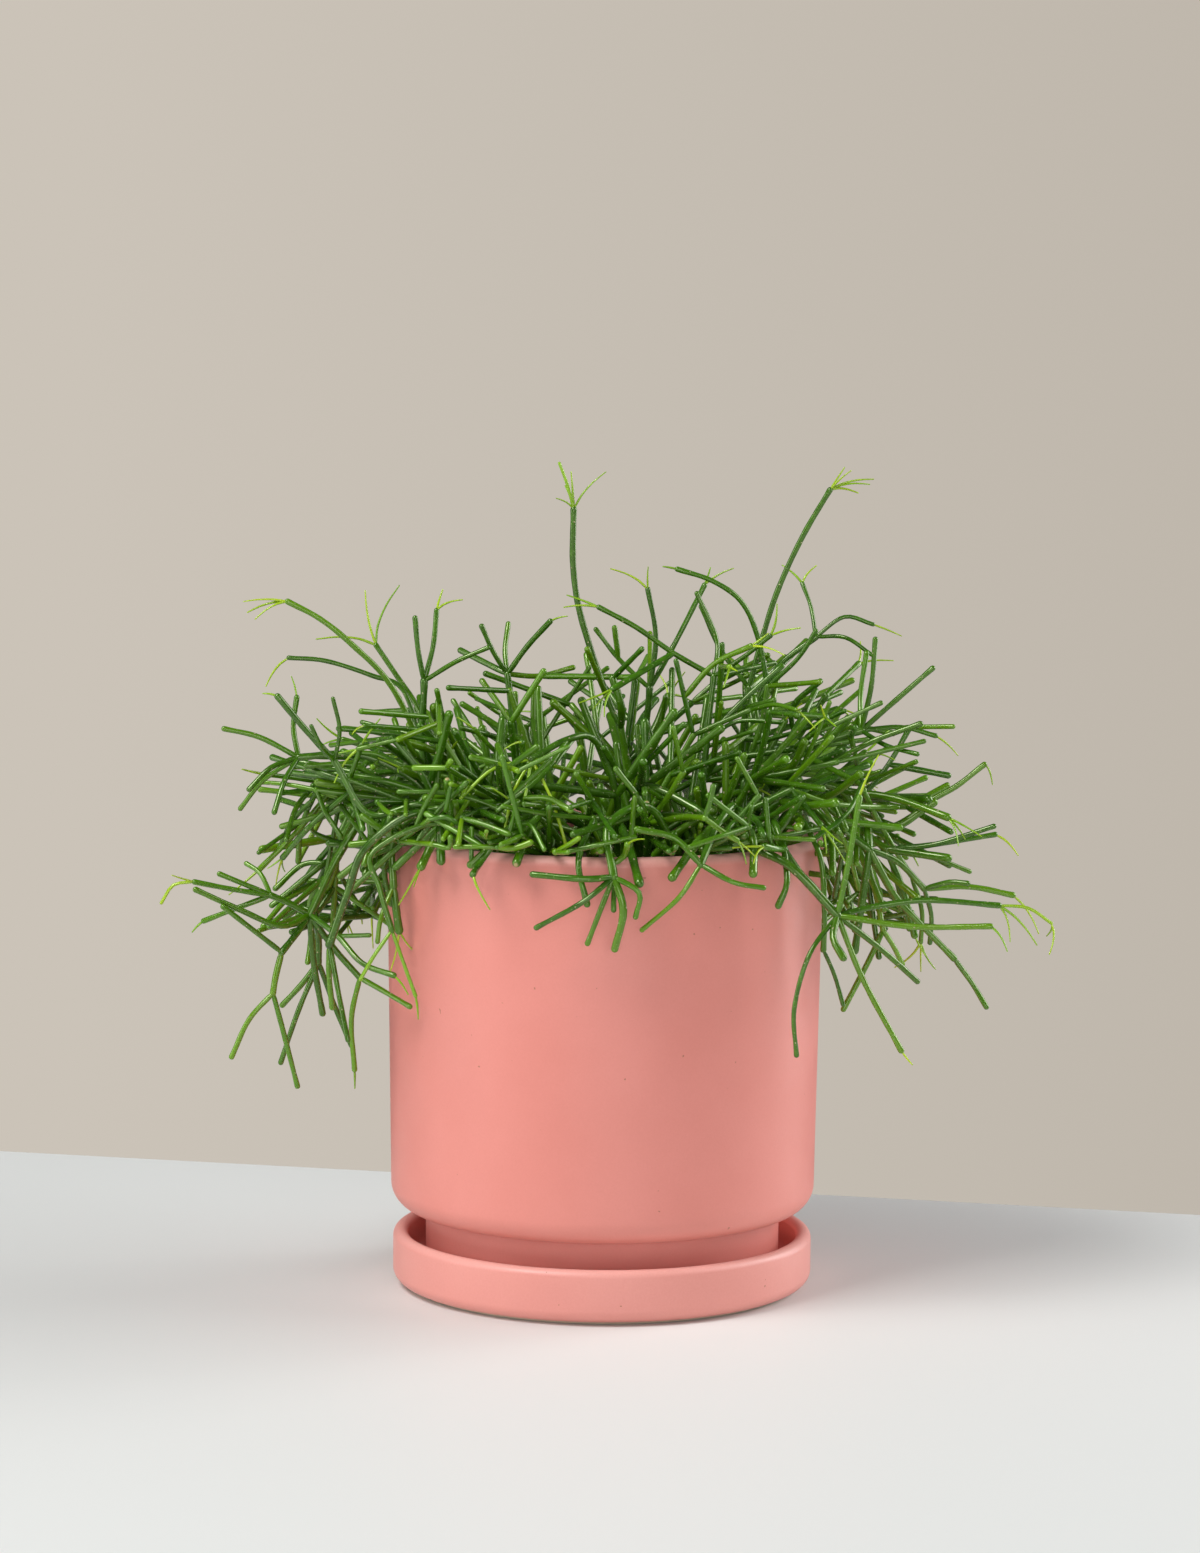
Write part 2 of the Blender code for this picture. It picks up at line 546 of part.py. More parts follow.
def clear_of_pot(points, ends, radii, moved, weight):
    """Adds to moved what lifts the stems off the pot's wall, its rim and the soil."""
    rim_middle = RIM_RADIUS - WALL / 2
    crest = RIM_HEIGHT - WALL / 2
    for share in (0.0, 0.25, 0.5, 0.75, 1.0):
        place = points[ends[:, 0]] * (1 - share) + points[ends[:, 1]] * share
        radius = np.hypot(place[:, 0], place[:, 1])
        level = unit_rows(np.column_stack([place[:, 0], place[:, 1], np.zeros(len(place))]))
        across = radius - rim_middle
        over = np.maximum(place[:, 2] - crest, 0)
        distance = np.hypot(across, over)
        fault = radii + WALL / 2 + POT_GAP - distance
        way = level * (across / np.maximum(distance, 1e-3))[:, None]
        way[:, 2] = over / np.maximum(distance, 1e-3)
        add_push(moved, weight, ends, share, way * np.maximum(fault, 0)[:, None], fault > 0)
        lowest = soil_height(radius) + radii + SOIL_GAP
        sunk = np.where(radius < rim_middle, lowest - place[:, 2], -1.0)
        add_push(moved, weight, ends, share, np.outer(np.maximum(sunk, 0), (0, 0, 1)), sunk > 0)


def straighten(points, runs):
    """Draws the middle of each run of three points towards the straight line between its ends."""
    before, here, after = runs.T
    points[here] += STRAIGHTENING * ((points[before] + points[after]) / 2 - points[here])


def keep_lengths(points, ends, lengths, fixed):
    """Draws each straight piece towards the length that it started with."""
    span = points[ends[:, 1]] - points[ends[:, 0]]
    now = np.linalg.norm(span, axis=1)
    fix = span * (LENGTH_KEEPING * (now - lengths) / np.maximum(now, 1e-6))[:, None]
    fix[fixed[ends[:, 0]] | fixed[ends[:, 1]]] = 0
    np.add.at(points, ends[:, 0], fix)
    np.add.at(points, ends[:, 1], -fix)


def settle(plant):
    """Moves the points until no stem touches another stem, the pot or the soil."""
    points = np.array(plant.points)
    fixed = np.array(plant.fixed)
    ends, radii, stems = plant.edges()
    lengths = np.linalg.norm(points[ends[:, 0]] - points[ends[:, 1]], axis=1)
    grown = [shoot for shoot in plant.shoots if shoot["stem"] not in STEMS and shoot["parent"]]
    runs = np.array([shoot["run"] for shoot in grown])
    for turn in range(SETTLE_ROUNDS):
        if turn % 6 == 0:
            pairs = near_pairs(points, ends, radii, stems)
        moved, weight = np.zeros_like(points), np.zeros(len(points))
        fault = push_apart(points, ends, radii, pairs, moved, weight)
        clear_of_pot(points, ends, radii, moved, weight)
        moved /= np.maximum(weight, 1.0)[:, None]
        moved[fixed] = 0
        points += moved
        if turn < SETTLE_ROUNDS * FREE_SHARE:
            keep_lengths(points, ends, lengths, fixed)
            straighten(points, runs)
        if fault == 0.0 and turn > SETTLE_ROUNDS * FREE_SHARE:
            break
    plant.points = list(points)
    print(f"settled after {turn + 1} rounds, deepest fault {fault:.3f} mm, {len(ends)} pieces")


def grow_plant():
    """Every stem, grown and settled."""
    plant = Plant()
    rng = random.Random(SEED)
    grow_named_stems(plant)
    grow_more_stems(plant, rng)
    settle(plant)
    return plant


def clear_scene():
    for obj in list(bpy.data.objects):
        bpy.data.objects.remove(obj, do_unlink=True)


def new_collection(name):
    made = bpy.data.collections.new(name)
    bpy.context.scene.collection.children.link(made)
    return made


def new_material(name):
    material = bpy.data.materials.new(name)
    material.use_nodes = True
    shader = material.node_tree.nodes["Principled BSDF"]
    shader.inputs["Base Color"].default_value = COLOURS[name]
    shader.inputs["Roughness"].default_value = ROUGHNESS[name]
    shader.inputs["Metallic"].default_value = 0.0
    material.diffuse_color = COLOURS[name]
    return material


def new_object(name, mesh, material, collection):
    obj = bpy.data.objects.new(name, mesh)
    mesh.materials.clear()
    mesh.materials.append(material)
    collection.objects.link(obj)
    return obj


def arc(centre, radius, start, stop, count):
    """Points on an arc of a profile, with angles in degrees from the outward direction."""
    angles = np.radians(np.linspace(start, stop, count))
    return [(centre[0] + radius * math.cos(a), centre[1] + radius * math.sin(a)) for a in angles]


def pot_profile():
    rim_centre = (RIM_RADIUS - WALL / 2, RIM_HEIGHT - WALL / 2)
    corner_centre = (BODY_LOW_RADIUS - BODY_CORNER, BODY_BASE + BODY_CORNER)
    foot_base = SAUCER_FLOOR + GAP
    floor = foot_base + FLOOR_THICKNESS
    foot_inside = FOOT_RADIUS - WALL
    return (
        arc(rim_centre, WALL / 2, 90, 0, 4)
        + arc(corner_centre, BODY_CORNER, 0, -90, 5)
        + [(FOOT_RADIUS + 0.8, BODY_BASE), (FOOT_RADIUS, BODY_BASE - 0.8)]
        + [(FOOT_RADIUS, foot_base + 1.2), (FOOT_RADIUS - 1.2, foot_base)]
        + [(DRAIN_RADIUS, foot_base), (DRAIN_RADIUS, floor)]
        + [(foot_inside - 3, floor), (foot_inside, floor + 3), (foot_inside, BODY_BASE + WALL - 2)]
        + [(foot_inside + 2, BODY_BASE + WALL)]
        + arc(corner_centre, BODY_CORNER - WALL, -90, 0, 3)
        + arc(rim_centre, WALL / 2, 180, 120, 3)
    )


def saucer_profile():
    rim_centre = (SAUCER_RADIUS - SAUCER_WALL / 2, SAUCER_HEIGHT - SAUCER_WALL / 2)
    corner_centre = (SAUCER_RADIUS - SAUCER_CORNER, SAUCER_FOOT_HEIGHT + SAUCER_CORNER)
    inside = SAUCER_RADIUS - SAUCER_WALL
    return (
        [(0, SAUCER_FLOOR)]
        + [(inside - 3, SAUCER_FLOOR), (inside - 0.8, SAUCER_FLOOR + 1), (inside, SAUCER_FLOOR + 3.4)]
        + arc(rim_centre, SAUCER_WALL / 2, 180, 0, 6)
        + arc(corner_centre, SAUCER_CORNER, 0, -90, 4)
        + [(SAUCER_FOOT_RADIUS, SAUCER_FOOT_HEIGHT), (SAUCER_FOOT_RADIUS - 0.6, 0), (0, 0)]
    )


def soil_profile():
    inside = RIM_RADIUS - WALL - GAP
    floor = SAUCER_FLOOR + FLOOR_THICKNESS + 2 * GAP
    foot_inside = FOOT_RADIUS - WALL - GAP
    corner = BODY_BASE + WALL + GAP
    low_inside = BODY_LOW_RADIUS - WALL - GAP
    edge = inside - (inside - low_inside) * (RIM_HEIGHT - SOIL_EDGE_HEIGHT) / (RIM_HEIGHT - BODY_BASE)
    crown = [(edge * share, soil_height(edge * share)) for share in (0, 0.35, 0.6, 0.8, 0.94)]
    return crown + [
        (edge - 0.2, SOIL_EDGE_HEIGHT - 1.0),
        (low_inside, corner + 2.6),
        (low_inside - 3, corner),
        (foot_inside, corner),
        (foot_inside, floor + 3.2),
        (foot_inside - 3.4, floor),
        (0, floor),
    ]


def turned(name, profile, closed, material, collection):
    """A turned shape. Its profile runs down the outer side, and a hollow one is a closed loop."""
    mesh = bpy.data.meshes.new(name)
    edges = [(index, index + 1) for index in range(len(profile) - 1)]
    if closed:
        edges.append((len(profile) - 1, 0))
    mesh.from_pydata([(radius * MM, 0, height * MM) for radius, height in profile], edges, [])
    obj = new_object(name, mesh, material, collection)
    screw = obj.modifiers.new("Turn", "SCREW")
    screw.steps = screw.render_steps = TURN_STEPS
    screw.use_merge_vertices = True
    screw.merge_threshold = 0.00002
    screw.use_smooth_shade = True
    return obj


def tube(name, points, radii, sides, collection):
    """A closed tube through these points, as a mesh whose caps are welded on."""
    curve = bpy.data.curves.new(name, "CURVE")
    curve.dimensions = "3D"
    curve.bevel_depth = MM
    curve.bevel_resolution = (sides - 4) // 2
    curve.use_fill_caps = True
    spline = curve.splines.new("POLY")
    spline.points.add(len(points) - 1)
    for place, point, radius in zip(spline.points, points, radii):
        place.co = (*(np.array(point) * MM), 1.0)
        place.radius = radius
    guide = bpy.data.objects.new(name + "_path", curve)
    collection.objects.link(guide)
    graph = bpy.context.evaluated_depsgraph_get()
    mesh = bpy.data.meshes.new_from_object(guide.evaluated_get(graph))
    bpy.data.objects.remove(guide)
    bpy.data.curves.remove(curve)
    form = bmesh.new()
    form.from_mesh(mesh)
    bmesh.ops.remove_doubles(form, verts=form.verts, dist=1e-6)
    bmesh.ops.recalc_face_normals(form, faces=form.faces)
    form.to_mesh(mesh)
    form.free()
    obj = bpy.data.objects.new(name, mesh)
    collection.objects.link(obj)
    return obj


def joined(name, target, others, operation, collection):
    """The target after a Boolean with all the others, which are removed with it."""
    cutters = bpy.data.collections.new(name + "_parts")
    for other in others:
        cutters.objects.link(other)
    boolean = target.modifiers.new("Join", "BOOLEAN")
    boolean.operation = operation
    boolean.operand_type = "COLLECTION"
    boolean.collection = cutters
    boolean.solver = "EXACT"
    bpy.context.view_layer.update()
    graph = bpy.context.evaluated_depsgraph_get()
    mesh = bpy.data.meshes.new_from_object(target.evaluated_get(graph))
    for obj in [target, *others]:
        bpy.data.objects.remove(obj, do_unlink=True)
    bpy.data.collections.remove(cutters)
    mesh.name = name
    return mesh


def shoot_path(plant, shoot):
    """The points of a shoot, reaching a little into its parent, and past its end where others leave it."""
    points = [np.array(plant.points[index]) for index in shoot["run"]]
    radius = shoot["radius"]
    if shoot["parent"] is not None:
        points[0] = points[0] - unit(points[1] - points[0]) * radius * OVERLAP
    if shoot["forks"]:
        points[-1] = points[-1] + unit(points[-1] - points[-2]) * radius * OVERLAP
        return points, [radius] * len(points)
    return points, [radius] * (len(points) - 1) + [radius * TIP_TAPER]


def make_stem(plant, name, material, collection, helpers):
    """One stem, as the union of a tube for each of its shoots."""
    tubes = []
    for shoot in plant.shoots:
        if shoot["stem"] != name:
            continue
        points, radii = shoot_path(plant, shoot)
        sides = 6 if shoot["radius"] >= THICK_STEM else 4
        tubes.append(tube(f"{name}_{len(tubes)}", points, radii, sides, helpers))
    mesh = joined(name, tubes[0], tubes[1:], "UNION", helpers)
    return new_object(name, mesh, material, collection)


def pit_cutter(foot, radius, helpers):
    """A prism that cuts the pit which a stem stands in."""
    form = bmesh.new()
    reach = (radius + ROOT_CLEARANCE) / math.cos(math.pi / PIT_SIDES) * MM
    bmesh.ops.create_cone(
        form,
        cap_ends=True,
        segments=PIT_SIDES,
        radius1=reach,
        radius2=reach,
        depth=2 * ROOT_DEPTH * MM,
    )
    middle = np.array(foot) + (0, 0, ROOT_DEPTH - GAP)
    bmesh.ops.translate(form, verts=form.verts, vec=middle * MM)
    mesh = bpy.data.meshes.new("pit")
    form.to_mesh(mesh)
    form.free()
    pit = bpy.data.objects.new("pit", mesh)
    helpers.objects.link(pit)
    return pit


def make_soil(plant, material, collection, helpers):
    """The soil, with a pit for the foot of each stem."""
    soil = turned("soil_plug", soil_profile(), False, material, helpers)
    trunks = [shoot for shoot in plant.shoots if shoot["parent"] is None]
    pits = [pit_cutter(plant.points[trunk["run"][0]], trunk["radius"], helpers) for trunk in trunks]
    mesh = joined("soil", soil, pits, "DIFFERENCE", helpers)
    return new_object("soil", mesh, material, collection)


def main():
    clear_scene()
    part = new_collection("Potted_mistletoe_cactus")
    helpers = new_collection("Helpers")
    materials = {name: new_material(name) for name in COLOURS}
    turned("saucer", saucer_profile(), False, materials["saucer_glaze"], part)
    turned("pot", pot_profile(), True, materials["pot_glaze"], part)
    plant = grow_plant()
    make_soil(plant, materials["soil"], part, helpers)
    for name in dict.fromkeys(shoot["stem"] for shoot in plant.shoots):
        make_stem(plant, name, materials["stem_skin"], part, helpers)
    bpy.data.collections.remove(helpers)


main()
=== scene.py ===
# %% [markdown]
# # A mistletoe cactus in a glazed pot
#
# The real object is a plant with slender green stems that fork again and again, potting soil, a clay pot
# with a satin coral glaze, and the saucer that the pot stands on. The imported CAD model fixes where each
# of them is. This lesson gives each one its finished surface, and builds the fine growth that the CAD
# model leaves out. Sizes are in millimetres up to the point where a mesh is made, because a stem is
# easier to think of as 2 mm thick.

import json
import math
import random

import bpy
import numpy as np
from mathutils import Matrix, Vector

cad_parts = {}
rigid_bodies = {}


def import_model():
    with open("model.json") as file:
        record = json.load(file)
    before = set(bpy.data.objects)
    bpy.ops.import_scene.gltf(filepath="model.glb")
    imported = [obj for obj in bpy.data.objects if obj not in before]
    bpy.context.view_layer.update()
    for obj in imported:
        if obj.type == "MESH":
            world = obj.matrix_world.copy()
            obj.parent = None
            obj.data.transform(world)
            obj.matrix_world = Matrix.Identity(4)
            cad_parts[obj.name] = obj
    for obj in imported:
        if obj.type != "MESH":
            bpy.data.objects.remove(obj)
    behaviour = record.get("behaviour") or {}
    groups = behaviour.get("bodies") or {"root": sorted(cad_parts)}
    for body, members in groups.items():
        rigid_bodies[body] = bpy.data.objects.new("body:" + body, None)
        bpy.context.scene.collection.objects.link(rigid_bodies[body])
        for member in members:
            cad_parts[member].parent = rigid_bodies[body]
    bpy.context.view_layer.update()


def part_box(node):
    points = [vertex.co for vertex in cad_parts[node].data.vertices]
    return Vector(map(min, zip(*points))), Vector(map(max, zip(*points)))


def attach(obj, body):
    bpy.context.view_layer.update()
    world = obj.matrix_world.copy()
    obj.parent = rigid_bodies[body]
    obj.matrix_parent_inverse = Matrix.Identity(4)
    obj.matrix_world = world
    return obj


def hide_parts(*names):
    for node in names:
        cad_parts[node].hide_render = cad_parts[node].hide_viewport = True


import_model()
MM = 0.001

# %% [markdown]
# ## The camera
#
# A camera could stand anywhere. A long lens from a metre and a half away keeps the pot's sides nearly
# parallel, so the pot reads as a cylinder. It stands a little above the rim and looks down by six
# degrees, so the rim and the saucer show as thin ellipses. The small roll is that of a tripod levelled by
# hand.

# %% Place the camera
CAMERA_PLACE = (-0.0021, -1.505, 0.339)
CAMERA_PITCH_DOWN = math.radians(6.1)
CAMERA_ROLL = math.radians(0.5)
CAMERA_LENS = 100.8

camera = bpy.data.objects.new("camera", bpy.data.cameras.new("camera"))
bpy.context.scene.collection.objects.link(camera)
camera.location = CAMERA_PLACE
camera.rotation_mode = "YXZ"
camera.rotation_euler = (math.pi / 2 - CAMERA_PITCH_DOWN, 0.0, 0.0)
camera.rotation_euler.rotate_axis("Z", CAMERA_ROLL)
camera.data.lens = CAMERA_LENS
bpy.context.scene.camera = camera
print(f"camera {CAMERA_PLACE[1]:.3f} m in front, {CAMERA_LENS} mm lens")

# %% [markdown]
# ## The table, the backdrop and the light
#
# The plant stands on a pale table whose far edge runs a little askew behind it. A big plane is enough for
# it. The backdrop is the world's own warm grey. Only the camera sees it: everything else gets a dim even
# fill. A soft light high on the left gives the stems their bright edges. Wide panels at both sides, one a
# little behind the pot and a weak one in front keep the pot's shading shallow, as in a light tent.

# %% Helpers for materials
def new_material(name, colour, roughness):
    """A Principled material with these constant values, its shader and its node tree."""
    material = bpy.data.materials.new(name)
    material.use_nodes = True
    shader = material.node_tree.nodes["Principled BSDF"]
    shader.inputs["Base Color"].default_value = colour
    shader.inputs["Roughness"].default_value = roughness
    material.diffuse_color = colour
    return material, shader, material.node_tree


def fill_socket(tree, socket, value):
    """Links a socket to an output, or sets it to a constant."""
    if isinstance(value, bpy.types.NodeSocket):
        tree.links.new(value, socket)
    else:
        socket.default_value = value


def add_node(tree, kind, sockets=None, **settings):
    """A node with these properties, and with these values in its sockets, by name or by number."""
    node = tree.nodes.new(kind)
    for key, value in settings.items():
        setattr(node, key, value)
    for key, value in (sockets or {}).items():
        fill_socket(tree, node.inputs[key], value)
    return node


def map_range(tree, value, low, high, new_low=0.0, new_high=1.0):
    """A value carried from one range to another."""
    sockets = {0: value, 1: low, 2: high, 3: new_low, 4: new_high}
    return add_node(tree, "ShaderNodeMapRange", sockets).outputs[0]


def mix_colours(tree, factor, first, second, blend="MIX"):
    """Two colours mixed by a factor. Each may be an output or a constant."""
    node = add_node(tree, "ShaderNodeMix", {"Factor": factor}, data_type="RGBA", blend_type=blend)
    colours = [socket for socket in node.inputs if socket.type == "RGBA"]
    fill_socket(tree, colours[0], first)
    fill_socket(tree, colours[1], second)
    return next(socket for socket in node.outputs if socket.type == "RGBA")


print("material helpers are ready")

# %% Make the table, the world and the lights
TABLE_SIZE = (3.6, 2.4)
TABLE_EDGE_BEHIND = 0.171
TABLE_DROP = 0.0002  # under the saucer, so that the two faces don't fight
TABLE_TURN = math.radians(-12.6)
TABLE_COLOUR = (0.735, 0.75, 0.735, 1.0)
TABLE_GLOSS = 0.6
# The backdrop darkens from left to right: painted shade, as from a light on the left.
BACKDROP_LEFT = (0.597, 0.546, 0.479, 1.0)
BACKDROP_RIGHT = (0.521, 0.474, 0.412, 1.0)
BACKDROP_SPREAD = (-0.12, 0.14)  # the directions between which the backdrop darkens
FILL_COLOUR = (0.10, 0.10, 0.105, 1.0)
WARM_WHITE = (1.0, 0.995, 0.98)
WHITE = (1.0, 1.0, 1.0)
# Each light: its place, what it points at, its width and height in metres, its power in watts and its colour
LIGHTS = {
    "key_light": ((-0.85, -0.75, 1.6), (0, 0, 0.12), (0.8, 0.8), 26.0, WARM_WHITE),
    "left_light": ((-1.4, -0.35, 0.45), (0, 0, 0.1), (0.9, 0.8), 6.5, WARM_WHITE),
    "right_light": ((1.25, 0.1, 0.8), (0, 0, 0.08), (1.0, 0.8), 10.5, WHITE),
    "edge_light": ((1.2, 0.65, 0.35), (0, 0, 0.1), (0.5, 0.9), 8.0, WHITE),
    "front_light": ((0.2, -1.9, 0.5), (0, 0, 0.12), (1.2, 0.8), 9.0, WHITE),
}


def make_table():
    """A flat sheet whose far edge runs behind the plant, a little askew."""
    across, deep = TABLE_SIZE
    mesh = bpy.data.meshes.new("table")
    corners = [(-across / 2, -deep), (across / 2, -deep), (across / 2, 0), (-across / 2, 0)]
    cosine, sine = math.cos(TABLE_TURN), math.sin(TABLE_TURN)
    turn = np.array([[cosine, -sine], [sine, cosine]])
    places = [(*(turn @ corner + (0, TABLE_EDGE_BEHIND)), -TABLE_DROP) for corner in corners]
    mesh.from_pydata(places, [], [(0, 1, 2, 3)])
    table = bpy.data.objects.new("table", mesh)
    bpy.context.scene.collection.objects.link(table)
    mesh.materials.append(new_material("table_paint", TABLE_COLOUR, TABLE_GLOSS)[0])


def area_light(name, place, target, size, power, colour):
    """A soft panel of light that points at a target."""
    light = bpy.data.lights.new(name, "AREA")
    light.shape = "RECTANGLE"
    light.size, light.size_y = size
    light.energy = power
    light.color = colour
    lamp = bpy.data.objects.new(name, light)
    lamp.location = place
    lamp.rotation_euler = (Vector(target) - Vector(place)).to_track_quat("-Z", "Y").to_euler()
    bpy.context.scene.collection.objects.link(lamp)


def light_world(tree):
    """The backdrop, a little darker to the right as painted shade, for the camera, and a dim even fill for
    everything else.
    """
    direction = add_node(tree, "ShaderNodeTexCoord").outputs["Generated"]
    split = add_node(tree, "ShaderNodeSeparateXYZ", {0: direction})
    across = map_range(tree, split.outputs["X"], *BACKDROP_SPREAD)
    seen = tree.nodes["Background"]
    fill_socket(tree, seen.inputs["Color"], mix_colours(tree, across, BACKDROP_LEFT, BACKDROP_RIGHT))
    fill = add_node(tree, "ShaderNodeBackground", {"Color": FILL_COLOUR})
    by_camera = add_node(tree, "ShaderNodeLightPath").outputs["Is Camera Ray"]
    sockets = {"Fac": by_camera, 1: fill.outputs[0], 2: seen.outputs[0]}
    choice = add_node(tree, "ShaderNodeMixShader", sockets)
    tree.links.new(choice.outputs[0], tree.nodes["World Output"].inputs["Surface"])


make_table()
world = bpy.data.worlds.new("studio")
bpy.context.scene.world = world
world.use_nodes = True
light_world(world.node_tree)
bpy.context.scene.view_settings.view_transform = "Standard"
for light_name, settings in LIGHTS.items():
    area_light(light_name, *settings)
print(f"the table, the world and {len(LIGHTS)} lights are in place")

# %% [markdown]
# ## Where the stems go
#
# On the real plant every stem that rises from the soil forks into whorls of thinner shoots. A stem is
# best thought of as a tree of shoots, each a short run of points. The stems that stand out are listed, in
# millimetres, with the same points as in the CAD model. Each shoot names its parent, its radius and its
# points.

# %% The stems that are listed one by one
GAP = 0.3  # between pieces that rest on or in each other
# The pot: a tapered cylinder on a narrower foot, with a hole in its floor
RIM_RADIUS = 76.0
RIM_HEIGHT = 159.0
WALL = 6.5
BODY_BASE = 27.0
BODY_LOW_RADIUS = 74.2
BODY_CORNER = 9.0
FOOT_RADIUS = 62.0
FLOOR_THICKNESS = 7.0
DRAIN_RADIUS = 6.0
# The saucer: a low ring wall on a thick floor, with an unglazed foot under it
SAUCER_RADIUS = 73.4
SAUCER_HEIGHT = 19.0
SAUCER_WALL = 5.4
SAUCER_FLOOR = 7.0
SAUCER_CORNER = 4.6
SAUCER_FOOT_RADIUS = 68.5
SAUCER_FOOT_HEIGHT = 0.8
# The soil: fills the pot up to a low mound
SOIL_EDGE_HEIGHT = 146.0
SOIL_MOUND = 4.0
ROOT_DEPTH = 8.0
NECK_HEIGHT = 2.0  # how far a stem rises straight out of the soil

